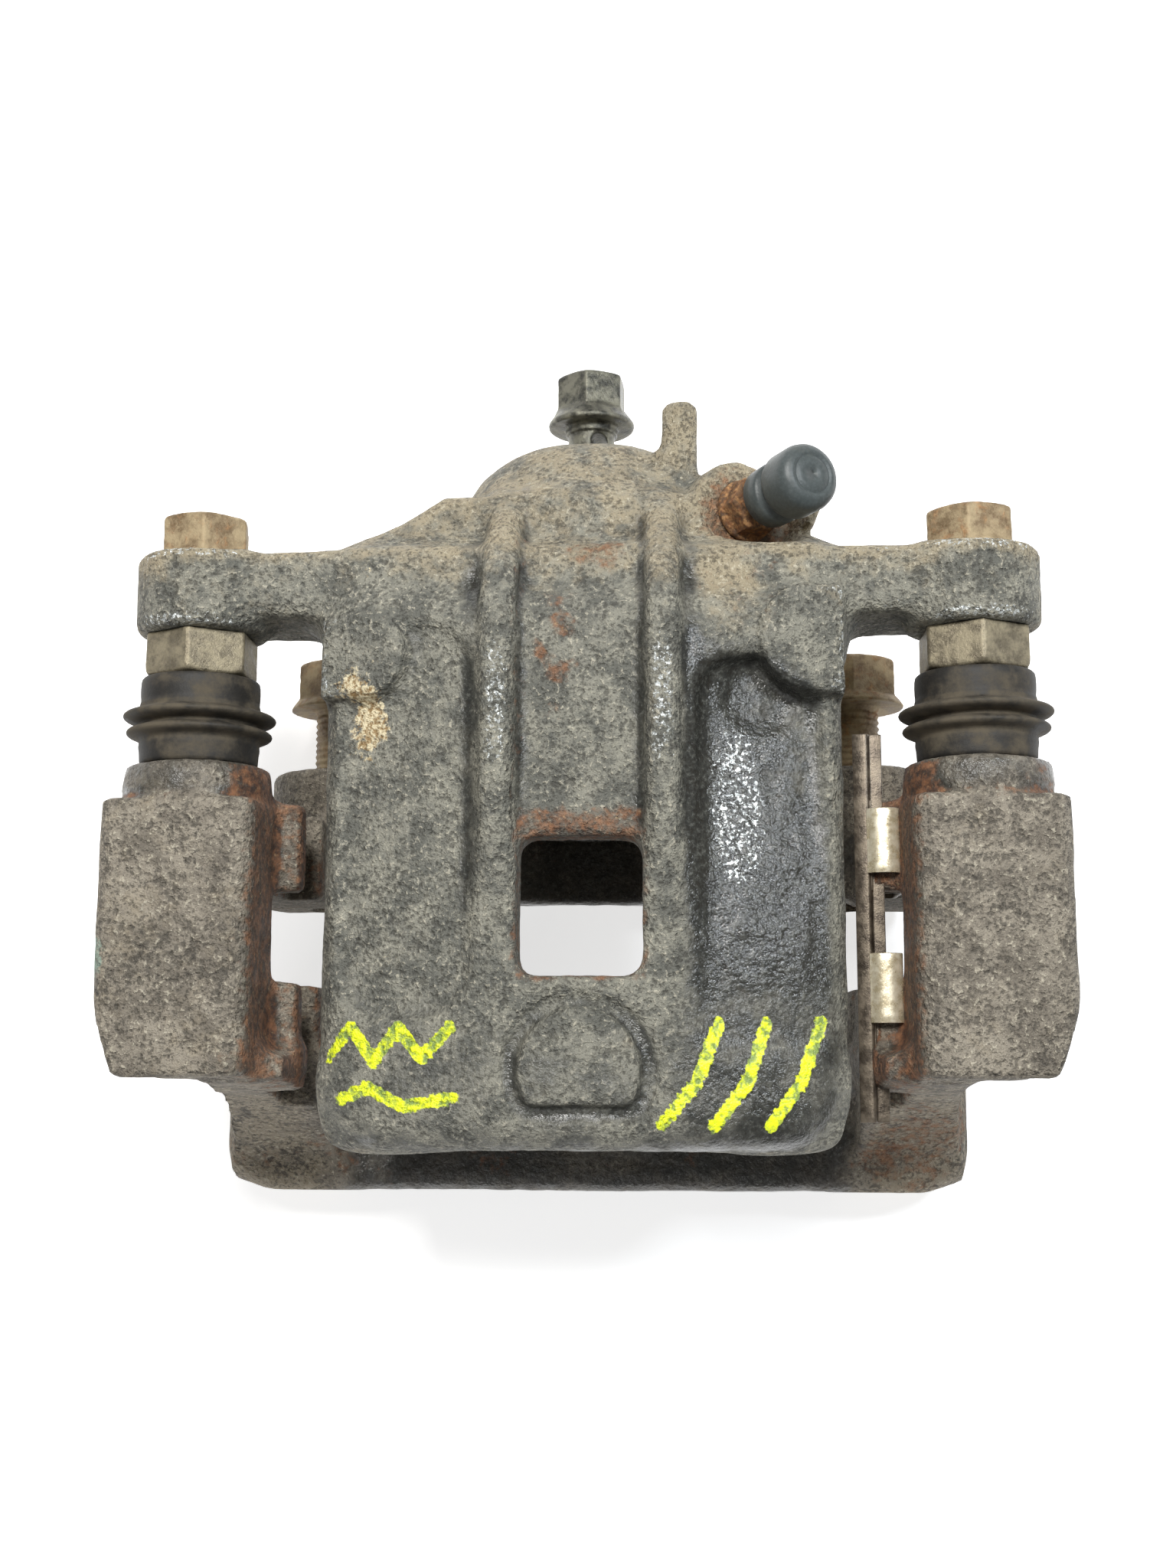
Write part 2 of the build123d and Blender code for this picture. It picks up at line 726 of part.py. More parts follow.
with BuildPart() as piston_dust_boot:
    with BuildSketch(along(0)):
        seat_end = disc_y + cylinder_face + boot_seat_depth - seal_side_gap
        groove = disc_y + piston_rest + piston_groove_start + seal_side_gap
        bead_out = bore_z + boot_seat_radius - seal_side_gap
        groove_floor = bore_z + piston_radius - piston_groove_depth + seal_side_gap
        fold = bore_z + piston_radius + 2
        # Outer bead, fold and inner bead, as one closed section
        Polygon(
            (seat_end, bead_out),
            (seat_end - dust_bead, bead_out),
            (seat_end - dust_bead, bead_out - dust_wall),
            (seat_end - dust_wall, bead_out - dust_wall),
            (seat_end - dust_wall, fold + dust_wall),
            (groove + dust_wall / 2, fold + dust_wall),
            (groove + dust_wall / 2, fold - 1),
            (groove, fold - 1),
            (groove, groove_floor),
            (groove + piston_groove_width - 2 * seal_side_gap, groove_floor),
            (groove + piston_groove_width - 2 * seal_side_gap, fold - 1),
            (groove + 1.5 * dust_wall, fold - 1),
            (groove + 1.5 * dust_wall, fold),
            (seat_end, fold),
            align=None,
        )
    revolve(axis=Axis((0, 0, bore_z), (0, 1, 0)))
piston_dust_boot.part.label = "piston_dust_boot"
export_step(piston_dust_boot.part, "parts/piston_dust_boot.step")

with BuildPart() as boot_snap_ring:
    with BuildSketch(across(cylinder_face + seal_side_gap)):
        with Locations((0, bore_z)):
            Circle(boot_seat_radius - running_clearance)
            Circle(boot_seat_radius - running_clearance - snap_wire, mode=Mode.SUBTRACT)
        with Locations((0, bore_z - boot_seat_radius)):
            Rectangle(snap_opening, 4 * snap_wire, mode=Mode.SUBTRACT)
    extrude(amount=-snap_wire)
boot_snap_ring.part.label = "boot_snap_ring"
export_step(boot_snap_ring.part, "parts/boot_snap_ring.step")

# ---------------------------------------------------------------- hose bolt
with BuildPart() as banjo_bolt:
    flange_face = banjo_head_reach - banjo_head - banjo_flange_thickness
    with BuildSketch(across(flange_face + banjo_flange_thickness)):
        with Locations((0, bore_z)):
            RegularPolygon(banjo_flats / 2, 6, major_radius=False)
    extrude(amount=-banjo_head)
    with BuildSketch(across(flange_face)):
        with Locations((0, bore_z)):
            Circle(banjo_flange / 2)
    extrude(amount=-banjo_flange_thickness)
    with BuildSketch(across(flange_face)):
        with Locations((0, bore_z)):
            Circle(banjo_thread / 2)
    extrude(amount=banjo_shank)
    # Drilled lengthwise from the tip, and across under the head
    with BuildSketch(across(flange_face - banjo_shank)):
        with Locations((0, bore_z)):
            Circle(banjo_drilling / 2)
    extrude(amount=-(banjo_shank - banjo_drilling / 2), mode=Mode.SUBTRACT)
    with BuildSketch(Plane.XY.offset(bore_z)):
        with Locations((0, disc_y + flange_face - banjo_drilling)):
            Circle(banjo_cross_hole / 2)
    extrude(amount=banjo_thread / 2 + 1, both=True, mode=Mode.SUBTRACT)
banjo_bolt.part.label = "banjo_bolt"
export_step(banjo_bolt.part, "parts/banjo_bolt.step")

# ---------------------------------------------------------------- bleeder and its cap
with BuildPart() as bleeder_screw:
    with BuildSketch(bleeder_plane):
        Circle(bleeder_thread / 2)
    extrude(amount=-bleeder_depth)
    with BuildSketch(bleeder_plane):
        RegularPolygon(bleeder_flats / 2, 6, major_radius=False)
    extrude(amount=bleeder_hex_height)
    with BuildSketch(bleeder_plane):
        Circle(nipple_diameter / 2)
    extrude(amount=bleeder_hex_height + nipple_length)
bleeder_screw.part.label = "bleeder_screw"
export_step(bleeder_screw.part, "parts/bleeder_screw.step")

with BuildPart() as bleeder_cap:
    with BuildSketch(bleeder_plane.offset(cap_start)):
        Circle(cap_diameter / 2)
    extrude(amount=cap_length)
    with BuildSketch(bleeder_plane.offset(cap_start)):
        Circle(nipple_diameter / 2 + running_clearance)
    extrude(amount=cap_length - cap_wall_end, mode=Mode.SUBTRACT)
bleeder_cap.part.label = "bleeder_cap"
export_step(bleeder_cap.part, "parts/bleeder_cap.step")

# ---------------------------------------------------------------- pad clip
with BuildPart() as pad_clip_right:
    inset = clip_gap + sheet / 2
    wall = leg_face - inset
    ledge = notch_high + leg_ledge + inset
    channel = leg_face + notch_depth - inset
    for leg_start, leg_end, tab_start, tab_end in (
        (-leg_outboard, -disc_slot / 2, tab_outboard_start, tab_outboard_end),
        (disc_slot / 2, leg_inboard, tab_inboard_start, tab_inboard_end),
    ):
        # Channel in the notch that the pad's ear slides in
        with BuildSketch(across(leg_start + clip_gap)):
            with BuildLine():
                Polyline(
                    (wall, ledge),
                    (wall, notch_high - inset),
                    (channel, notch_high - inset),
                    (channel, notch_low + inset),
                    (wall, notch_low + inset),
                    (wall, notch_low - clip_lip),
                )
            trace(line_width=sheet)
        extrude(amount=leg_start - leg_end + 2 * clip_gap)
        # Tab folded over the ledge beside the tower
        with BuildSketch(across(tab_start)):
            with Locations(((wall + tower_in - 0.5) / 2, ledge)):
                Rectangle(tower_in - 0.5 - wall + sheet, sheet)
        extrude(amount=tab_start - tab_end)
    # Spine over the disc's edge, with its feet outboard and its tip inboard
    with BuildSketch(Plane.XY.offset(ledge - sheet / 2)):
        with Locations((wall - spine_width / 2, disc_y + (spine_outboard + spine_inboard) / 2)):
            Rectangle(spine_width + sheet, spine_inboard - spine_outboard)
    extrude(amount=sheet)
    with BuildSketch(across(spine_outboard)):
        with Locations((wall - spine_width / 2, ledge - foot_drop / 2)):
            Rectangle(spine_width + sheet, foot_drop + sheet)
    extrude(amount=-sheet)
pad_clip_right.part.label = "pad_clip_right"
export_step(pad_clip_right.part, "parts/pad_clip_right.step")
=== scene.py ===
"""Worn brake caliper on its bracket: castings with cast fillets, rubber boots, bolts and a spring clip.

Lengths in the modelling code are millimetres, and become metres when a mesh is made. yy is the distance
inboard of the disc's middle plane.
"""

import json
import math

import bpy
import numpy as np
import openvdb
from mathutils import Matrix, Vector


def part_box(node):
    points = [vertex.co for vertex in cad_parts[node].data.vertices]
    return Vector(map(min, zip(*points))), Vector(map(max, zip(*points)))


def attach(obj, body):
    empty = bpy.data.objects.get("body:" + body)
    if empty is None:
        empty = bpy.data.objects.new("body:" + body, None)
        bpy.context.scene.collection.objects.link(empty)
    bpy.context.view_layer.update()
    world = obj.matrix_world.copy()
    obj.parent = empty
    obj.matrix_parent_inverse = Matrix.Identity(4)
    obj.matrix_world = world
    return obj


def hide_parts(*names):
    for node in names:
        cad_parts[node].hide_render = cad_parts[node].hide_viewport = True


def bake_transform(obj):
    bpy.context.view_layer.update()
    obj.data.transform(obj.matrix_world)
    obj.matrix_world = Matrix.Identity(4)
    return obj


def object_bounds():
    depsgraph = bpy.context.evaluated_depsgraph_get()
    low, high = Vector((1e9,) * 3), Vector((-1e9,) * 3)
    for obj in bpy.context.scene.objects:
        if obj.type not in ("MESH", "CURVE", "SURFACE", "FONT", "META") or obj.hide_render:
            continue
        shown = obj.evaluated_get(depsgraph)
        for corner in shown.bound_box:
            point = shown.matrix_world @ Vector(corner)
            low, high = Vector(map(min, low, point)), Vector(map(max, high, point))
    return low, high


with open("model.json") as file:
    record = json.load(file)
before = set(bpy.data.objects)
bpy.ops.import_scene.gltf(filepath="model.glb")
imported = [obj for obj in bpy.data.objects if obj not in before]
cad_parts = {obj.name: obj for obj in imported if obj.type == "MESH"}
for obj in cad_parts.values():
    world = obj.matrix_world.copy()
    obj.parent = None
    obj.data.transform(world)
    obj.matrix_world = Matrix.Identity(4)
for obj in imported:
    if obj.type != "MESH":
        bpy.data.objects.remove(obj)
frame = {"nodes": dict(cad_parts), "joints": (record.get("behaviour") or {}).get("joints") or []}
cad_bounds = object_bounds()
MM = 0.001
whole_low, whole_high = (np.array(corner) / MM for corner in cad_bounds)


# ---- where the CAD puts things
def corners(node):
    low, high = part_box(node)
    return np.array(low) / MM, np.array(high) / MM


def centre(node):
    low, high = corners(node)
    return (low + high) / 2


bracket_low, bracket_high = corners("carrier")
body_low, body_high = corners("caliper_body")
tie_outboard = -45.7
disc = bracket_low[1] - tie_outboard
pin_x, _, pin_z = centre("guide_bolt_right")
lug_x, _, lug_z = centre("mounting_bolt_right")
bore_z = centre("piston")[2]
top = body_high[2]

# Caliper body
rib_height = 2.5
roof_crown = top - rib_height
roof_radius = 122.27
arch_radius = 134.0
axle_z = -66.0
bridge_half = 43.5
bridge_outboard = -35.0
bridge_inboard = 54.3
window_half = 10.0
window_start = -7.4
window_end = 14.8
mouth = 29.3
cylinder_back = 76.7
cylinder_radius = 27.0
cylinder_draft = 2.4
arm_low = 49.0
arm_outboard = 53.2
arm_inboard = 64.8

# Carrier
leg_face = 49.0
lug_outboard = 8.9
beam_inboard = 22.3
lug_inboard = 34.3
lug_radius = 14.0
tie_half = 69.5
slot_half = 7.5
tower_outboard = -23.5
tower_inboard = 22.0
tower_inner = pin_x - 12.6
tower_outer = pin_x + 13.2
tower_low = 47.0
tower_high = 75.0
tower_end = 28.4

# Slide pins and their boots
boot_end = 43.6
pin_hex_end = 51.2

# Bleeder
bleeder_joint = [j for j in frame["joints"] if j["name"] == "bleeder_turn"][0]
bleeder_axis = np.array(bleeder_joint["axis"], float)
bleeder_axis /= np.linalg.norm(bleeder_axis)
bleeder_seat = np.array([27.8, disc + 74.0, 58.0])


# ---- signed distances
def soft_min(a, b, k=0.0):
    """Union of two solids, with a fillet of about 0.85 k where they meet."""
    if k <= 0:
        return np.minimum(a, b)
    h = np.maximum(k - np.abs(a - b), 0)
    return np.minimum(a, b) - h * h / (4 * k)


def soft_max(a, b, k=0.0):
    return -soft_min(-a, -b, k)


def between(v, low, high):
    return np.abs(v - (low + high) / 2) - (high - low) / 2


def prism(section, along, low, high, r=0.0):
    """The 2-D section carried from low to high, with its end edges rounded by r."""
    a = section + r
    b = between(along, low, high) + r
    return np.minimum(np.maximum(a, b), 0) + np.hypot(np.maximum(a, 0), np.maximum(b, 0)) - r


def circle(u, v, cu, cv, radius):
    return np.hypot(u - cu, v - cv) - radius


def rectangle(u, v, u0, u1, v0, v1, r=0.0):
    return prism(between(u, u0, u1), v, v0, v1, r)


def hexagon(u, v, flats, turn=0.0):
    d = None
    for k in range(3):
        angle = turn + k * math.pi / 3
        e = np.abs(u * math.cos(angle) + v * math.sin(angle)) - flats / 2
        d = e if d is None else np.maximum(d, e)
    return d


def polygon(u, v, points):
    """Distance to a closed outline, in the plane of u and v."""
    u, v = np.broadcast_arrays(u, v)
    best = np.full(u.shape, 1e9, np.float32)
    inside = np.zeros(u.shape, bool)
    for (x0, y0), (x1, y1) in zip(points, points[1:] + points[:1]):
        ex, ey = x1 - x0, y1 - y0
        px, py = u - x0, v - y0
        t = np.clip((px * ex + py * ey) / (ex * ex + ey * ey), 0, 1)
        best = np.minimum(best, (px - t * ex) ** 2 + (py - t * ey) ** 2)
        if y0 != y1:
            cross = (y0 > v) != (y1 > v)
            inside ^= cross & (u < ex * (v - y0) / ey + x0)
    best = np.sqrt(best)
    return np.where(inside, -best, best).astype(np.float32)


def square_to(axis):
    """Two directions square to the axis and to each other."""
    side = np.cross(axis, (0.0, 0.0, 1.0))
    length = np.linalg.norm(side)
    side = side / length if length > 1e-3 else np.array((1.0, 0.0, 0.0))
    return side, np.cross(side, axis)


def bar(x, y, z, start, end, radius, r=0.0, flats=0):
    """A round or hexagonal bar between two points."""
    start, end = np.array(start, float), np.array(end, float)
    axis = end - start
    length = np.linalg.norm(axis)
    axis /= length
    side, up = square_to(axis)
    p = [x - start[0], y - start[1], z - start[2]]
    t = sum(a * b for a, b in zip(p, axis))
    u = sum(a * b for a, b in zip(p, side))
    v = sum(a * b for a, b in zip(p, up))
    section = hexagon(u, v, flats) if flats else np.hypot(u, v) - radius
    return prism(section, t, 0, length, r)


def cube_corners(f):
    """The corners of a unit cube, each with its weight at the places f inside the cube."""
    for dx in (0, 1):
        for dy in (0, 1):
            for dz in (0, 1):
                weight = (f[:, 0] if dx else 1 - f[:, 0]) * (f[:, 1] if dy else 1 - f[:, 1])
                yield dx, dy, dz, weight * (f[:, 2] if dz else 1 - f[:, 2])


class Clay:
    """A solid held as distances on a grid, negative inside."""

    def __init__(self, low, high, step):
        self.low, self.step = np.array(low, float), step
        count = np.ceil((np.array(high) - self.low) / step).astype(int) + 1
        axes = [np.float32(self.low[i] + step * np.arange(count[i])) for i in range(3)]
        self.x = axes[0][:, None, None]
        self.y = axes[1][None, :, None]
        self.z = axes[2][None, None, :]
        self.yy = self.y - np.float32(disc)
        self.d = np.full(count, 50.0, np.float32)

    def add(self, d, k=0.0):
        self.d = soft_min(self.d, d, k).astype(np.float32)

    def cut(self, d, k=0.0):
        self.d = soft_max(self.d, -d, k).astype(np.float32)

    def keep(self, d, k=0.0):
        self.d = soft_max(self.d, d, k).astype(np.float32)

    def bar(self, *args, **kw):
        return bar(self.x, self.y, self.z, *args, **kw)

    def sample(self, values, points):
        """values on the grid, read at points in between."""
        p = (points - self.low) / self.step
        i = np.clip(np.floor(p).astype(int), 0, np.array(values.shape) - 2)
        out = 0
        for dx, dy, dz, weight in cube_corners(p - i):
            out = out + weight * values[i[:, 0] + dx, i[:, 1] + dy, i[:, 2] + dz]
        return out

    def skin(self):
        """Points in mm, four-sided faces, outward normals and curvature of the surface."""
        grid = openvdb.FloatGrid(50.0)
        grid.copyFromArray(np.ascontiguousarray(self.d))
        points, quads = grid.convertToQuads(isovalue=0.0)
        points = points.astype(float) * self.step + self.low
        quads = quads.astype(np.int64)
        slopes = np.gradient(self.d)
        normals = np.stack([self.sample(s, points) for s in slopes], 1)
        normals /= np.maximum(np.linalg.norm(normals, axis=1, keepdims=True), 1e-6)
        a, b, c = (points[quads[:, i]] for i in (0, 1, 2))
        facing = np.einsum("ij,ij->i", np.cross(b - a, c - a), normals[quads[:, 0]])
        if np.median(facing) < 0:
            quads = quads[:, ::-1]
        wide = self.d.copy()
        for _ in range(2):
            for ax in range(3):
                wide = (np.roll(wide, 1, ax) + wide * 2 + np.roll(wide, -1, ax)) / 4
        bend = sum(np.roll(wide, 1, ax) + np.roll(wide, -1, ax) - 2 * wide for ax in range(3))
        curve = self.sample(bend, points) / self.step**2
        return points, quads, normals, curve


# ---- noise
def noise(points, scale, seed, octaves=1):
    """Smooth noise between -1 and 1, with features about scale mm across."""
    total, weight, size = 0.0, 0.0, 1.0
    for octave in range(octaves):
        p = points / scale * 2**octave + 17.3 * octave
        i = np.floor(p).astype(np.int64)
        f = p - i
        f = f * f * (3 - 2 * f)
        out = 0
        for dx, dy, dz, near in cube_corners(f):
            n = (i[:, 0] + dx) * 73856093 ^ (i[:, 1] + dy) * 19349663 ^ (i[:, 2] + dz) * 83492791
            n = (n ^ (seed * 2654435 + octave * 97)) & 0xFFFFFFFF
            n = ((n ^ (n >> 15)) * 2246822519) & 0xFFFFFFFF
            n = ((n ^ (n >> 13)) * 3266489917) & 0xFFFFFFFF
            out = out + near * (((n >> 8) & 0xFFFF) / 32767.5 - 1)
        total = total + out * size
        weight += size
        size *= 0.55
    return total / weight


def fade(v, start, end):
    """0 at start, 1 at end, smooth between."""
    t = np.clip((v - start) / (end - start), 0, 1)
    return t * t * (3 - 2 * t)


def spot(points, at, radii):
    """1 at a place, fading to 0 at its radii."""
    q = (points - np.array(at)) / np.array(radii)
    return 1 - fade(np.linalg.norm(q, axis=1), 0.35, 1.0)


# ---- meshes
def mesh_object(name, points, faces, body, replaces=(), material=None, smooth=True):
    mesh = bpy.data.meshes.new(name)
    mesh.from_pydata((np.asarray(points) * MM).tolist(), [], [list(map(int, f)) for f in faces])
    mesh.validate()
    mesh.update()
    if smooth:
        mesh.shade_smooth()
    thing = bpy.data.objects.new(name, mesh)
    bpy.context.scene.collection.objects.link(thing)
    if material is not None:
        mesh.materials.append(material)
    if body:
        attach(thing, body)
    if replaces:
        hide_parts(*replaces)
    return thing


def face_outward(mesh):
    volume = sum(p.center.dot(p.normal) * p.area for p in mesh.polygons)
    if volume < 0:
        mesh.flip_normals()


def attribute(thing, name, values):
    layer = thing.data.attributes.new(name, "FLOAT", "POINT")
    layer.data.foreach_set("value", np.asarray(values, np.float32))


def cast(name, clay, body, material, paint=None, rough=None, replaces=()):
    """A mesh of the clay, roughened along its normals by rough() and carrying the masks of paint()."""
    points, quads, normals, curve = clay.skin()
    if rough is not None:
        points = points + normals * rough(points, normals, curve)[:, None]
    points = np.clip(points, whole_low, whole_high)
    thing = mesh_object(name, points, quads, body, replaces or (name,), material)
    if paint is not None:
        for mask, values in paint(points, normals, curve).items():
            attribute(thing, mask, np.clip(values, 0, 1))
    return thing


def lathe(name, profile, origin, axis, body, material, replaces=(), segments=96):
    """A closed profile of (along, radius) turned round an axis."""
    axis = np.array(axis, float) / np.linalg.norm(axis)
    side, up = square_to(axis)
    points, faces = [], []
    count = len(profile)
    for k in range(segments):
        angle = 2 * math.pi * k / segments
        out = side * math.cos(angle) + up * math.sin(angle)
        points += [np.array(origin) + axis * t + out * r for t, r in profile]
    for k in range(segments):
        a, b = k * count, (k + 1) % segments * count
        faces += [(a + i, a + (i + 1) % count, b + (i + 1) % count, b + i) for i in range(count)]
    thing = mesh_object(name, points, faces, None, (), material)
    face_outward(thing.data)
    if body:
        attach(thing, body)
    if replaces:
        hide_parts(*replaces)
    return thing


# ---- material nodes
class Shader:
    """A procedural material, built node by node."""

    def __init__(self, name):
        self.material = bpy.data.materials.new(name)
        self.material.use_nodes = True
        self.nodes = self.material.node_tree.nodes
        self.links = self.material.node_tree.links
        self.nodes.clear()
        self.surface = self.nodes.new("ShaderNodeBsdfPrincipled")
        out = self.nodes.new("ShaderNodeOutputMaterial")
        self.links.new(self.surface.outputs[0], out.inputs[0])
        self.place = self.nodes.new("ShaderNodeTexCoord").outputs["Object"]

    def put(self, value, socket):
        if isinstance(value, bpy.types.NodeSocket):
            self.links.new(value, socket)
        elif isinstance(value, tuple) and len(value) == 3 and socket.type == "RGBA":
            socket.default_value = (*value, 1.0)
        else:
            socket.default_value = value

    def node(self, kind, inputs=(), **settings):
        n = self.nodes.new(kind)
        for key, value in settings.items():
            setattr(n, key, value)
        for key, value in dict(inputs).items():
            self.put(value, n.inputs[key])
        return n

    def math(self, operation, a, b=0.0, clamp=False):
        return self.node("ShaderNodeMath", {0: a, 1: b}, operation=operation, use_clamp=clamp).outputs[0]

    def mask(self, name):
        return self.node("ShaderNodeAttribute", attribute_name=name).outputs["Fac"]

    def noise(self, size, detail=3.0, rough=0.6, warp=0.0):
        """Noise from 0 to 1, with features about size mm across."""
        inputs = {"Vector": self.place, "Scale": 1 / (size * MM), "Detail": detail}
        inputs |= {"Roughness": rough, "Distortion": warp}
        return self.node("ShaderNodeTexNoise", inputs).outputs[0]

    def cells(self, size, feature="F1"):
        inputs = {"Vector": self.place, "Scale": 1 / (size * MM)}
        return self.node("ShaderNodeTexVoronoi", inputs, feature=feature).outputs["Distance"]

    def ramp(self, value, start, end, low=0.0, high=1.0):
        inputs = {"Value": value, "From Min": start, "From Max": end, "To Min": low, "To Max": high}
        return self.node("ShaderNodeMapRange", inputs, interpolation_type="SMOOTHSTEP").outputs[0]

    def mix(self, factor, a, b):
        n = self.nodes.new("ShaderNodeMix")
        n.data_type = "RGBA"
        self.put(factor, n.inputs[0])
        self.put(a, n.inputs[6])
        self.put(b, n.inputs[7])
        return n.outputs[2]

    def blend(self, factor, a, b):
        n = self.nodes.new("ShaderNodeMix")
        self.put(factor, n.inputs[0])
        self.put(a, n.inputs[2])
        self.put(b, n.inputs[3])
        return n.outputs[0]

    def broken(self, mask, size, sharp=0.3, reach=1.0, warp=0.0):
        """A mask whose edge is broken up by noise."""
        speck = self.noise(size, 4.0, 0.65, warp)
        together = self.math("ADD", self.math("MULTIPLY", mask, reach), speck)
        return self.ramp(together, 1.0 - sharp / 2, 1.0 + sharp / 2)

    def relief(self, height, distance, strength=1.0, below=None):
        inputs = {"Height": height, "Distance": distance * MM, "Strength": strength}
        if below is not None:
            inputs["Normal"] = below
        return self.node("ShaderNodeBump", inputs).outputs[0]

    def finish(self, colour, roughness, normal=None, metallic=0.0, **constants):
        self.put(colour, self.surface.inputs["Base Color"])
        self.put(roughness, self.surface.inputs["Roughness"])
        self.put(metallic, self.surface.inputs["Metallic"])
        if normal is not None:
            self.put(normal, self.surface.inputs["Normal"])
        for key, value in constants.items():
            self.surface.inputs[key.replace("_", " ")].default_value = value
        return self.material


def srgb(r, g, b):
    def linear(v):
        v /= 255
        return v / 12.92 if v <= 0.04045 else ((v + 0.055) / 1.055) ** 2.4

    return (linear(r), linear(g), linear(b))


def casting_material(name, light, deep, dust, spots=0.5):
    """Old cast iron: grey-brown skin with dust, rust, oil, worn crests and paint where the masks say, with
    painted shade where the dark mask darkens corners and painted highlight where the wear mask carries the
    channel's glint.
    """
    s = Shader(name)
    cloud = s.noise(6, 9, 0.78)
    fine = s.noise(0.8, 3, 0.65)
    grit = s.noise(3.2, 4, 0.7)
    dark = s.mask("dark")
    colour = s.mix(s.ramp(cloud, 0.42, 0.58), deep, light)
    # Dust where the dust mask puts it
    dusty = s.broken(s.mask("dust"), 2.4, 0.55, 0.9)
    colour = s.mix(s.math("MULTIPLY", dusty, 0.7), colour, dust)
    # Dark skin where the dark mask says: oil, and painted shade in corners, on rib flanks and under parts
    oil_and_shade = s.broken(dark, 3.2, 0.6, 1.1)
    strength = s.math("MULTIPLY", oil_and_shade, 0.92)
    colour = s.mix(strength, colour, s.mix(s.ramp(fine, 0.4, 0.8), srgb(36, 37, 36), srgb(78, 78, 72)))
    rough = s.blend(oil_and_shade, 0.74, s.ramp(fine, 0.3, 0.7, 0.12, 0.3))
    # Grit: pale and dark grains, and larger dark spots of oil
    pale = s.ramp(fine, 0.57, 0.68)
    colour = s.mix(s.math("MULTIPLY", pale, 0.42), colour, s.mix(oil_and_shade, srgb(218, 210, 188), srgb(96, 98, 94)))
    shade = s.ramp(s.math("ADD", s.math("MULTIPLY", fine, 0.6), s.math("MULTIPLY", grit, 0.4)), 0.48, 0.41)
    colour = s.mix(s.math("MULTIPLY", shade, 0.55), colour, srgb(44, 41, 35))
    spotty = s.broken(s.math("MULTIPLY", s.noise(15, 3, 0.6), spots), 1.5, 0.1, 1.0)
    colour = s.mix(s.math("MULTIPLY", spotty, 0.7), colour, srgb(56, 52, 46))
    # Cream deposit
    cream = s.broken(s.mask("cream"), 1.1, 0.14, 0.85, 0.3)
    strength = s.math("MULTIPLY", cream, 0.85)
    colour = s.mix(strength, colour, s.mix(s.ramp(fine, 0.4, 0.6), srgb(150, 122, 80), srgb(226, 212, 176)))
    # Rust, orange over brown
    rusty = s.broken(s.mask("rust"), 1.9, 0.4, 1.0, 0.2)
    tone = s.mix(s.ramp(s.noise(1.9, 5, 0.7), 0.38, 0.66), srgb(62, 40, 29), srgb(142, 95, 62))
    tone = s.mix(s.ramp(s.noise(1.0, 4, 0.7), 0.58, 0.75), tone, srgb(186, 156, 114))
    colour = s.mix(s.math("MULTIPLY", rusty, 0.72), colour, tone)
    rough = s.blend(rusty, rough, 0.88)
    # Bare metal on worn crests, and pale specks as a painted highlight where the wear mask carries the wet
    # channel's glint
    bare_and_glint = s.broken(s.mask("wear_and_glint"), 0.7, 0.1, 0.92)
    colour = s.mix(bare_and_glint, colour, s.mix(fine, srgb(176, 182, 180), srgb(240, 242, 240)))
    rough = s.blend(bare_and_glint, rough, 0.4)
    # Paint marks
    pen = s.broken(s.mask("paint"), 0.9, 0.2, 1.0)
    ink = s.mix(s.ramp(s.noise(1.6, 4), 0.36, 0.56), srgb(128, 150, 74), srgb(234, 246, 34))
    colour = s.mix(pen, colour, ink)
    rough = s.blend(pen, rough, 0.4)
    teal = s.broken(s.mask("teal"), 1.4, 0.2, 0.9)
    colour = s.mix(s.math("MULTIPLY", teal, 0.6), colour, srgb(142, 172, 158))
    pits = s.cells(1.1, "SMOOTH_F1")
    hard = s.blend(oil_and_shade, 0.9, 0.3)
    lumps = s.relief(s.noise(1.6, 3, 0.6), 0.8, hard)
    grain = s.relief(s.math("ADD", fine, s.math("MULTIPLY", pits, 0.5)), 0.5, hard, lumps)
    s.put(s.math("MULTIPLY", oil_and_shade, 0.16), s.surface.inputs["Coat Weight"])
    s.put(s.relief(s.noise(1.3, 3, 0.6), 0.42, 0.8), s.surface.inputs["Coat Normal"])
    return s.finish(colour, rough, grain, s.math("MULTIPLY", bare_and_glint, 0.75), Coat_Roughness=0.1)


def steel_material(name, light, dark, rust=0.0, rough=0.4, metallic=0.6, patch=3.0, bump=0.25):
    """Plated or oiled steel with grime and, as asked, rust."""
    s = Shader(name)
    cloud = s.noise(patch, 4, 0.65)
    fine = s.noise(0.5, 4, 0.7)
    colour = s.mix(s.ramp(cloud, 0.35, 0.65), dark, light)
    colour = s.mix(s.ramp(fine, 0.35, 0.8), colour, s.mix(0.4, colour, light))
    rusty = s.ramp(s.math("ADD", s.noise(patch * 0.8, 5, 0.7, 0.3), rust), 0.85, 1.15)
    tone = s.mix(s.ramp(s.noise(0.9, 4), 0.35, 0.65), srgb(120, 76, 46), srgb(184, 140, 92))
    colour = s.mix(rusty, colour, tone)
    roughness = s.blend(rusty, s.ramp(cloud, 0.3, 0.7, rough * 0.8, rough * 1.25), 0.85)
    metal = s.math("MULTIPLY", s.math("SUBTRACT", 1.0, rusty), metallic)
    relief = s.relief(s.math("ADD", fine, s.math("MULTIPLY", rusty, 0.6)), bump, 0.6)
    return s.finish(colour, roughness, relief, metal)


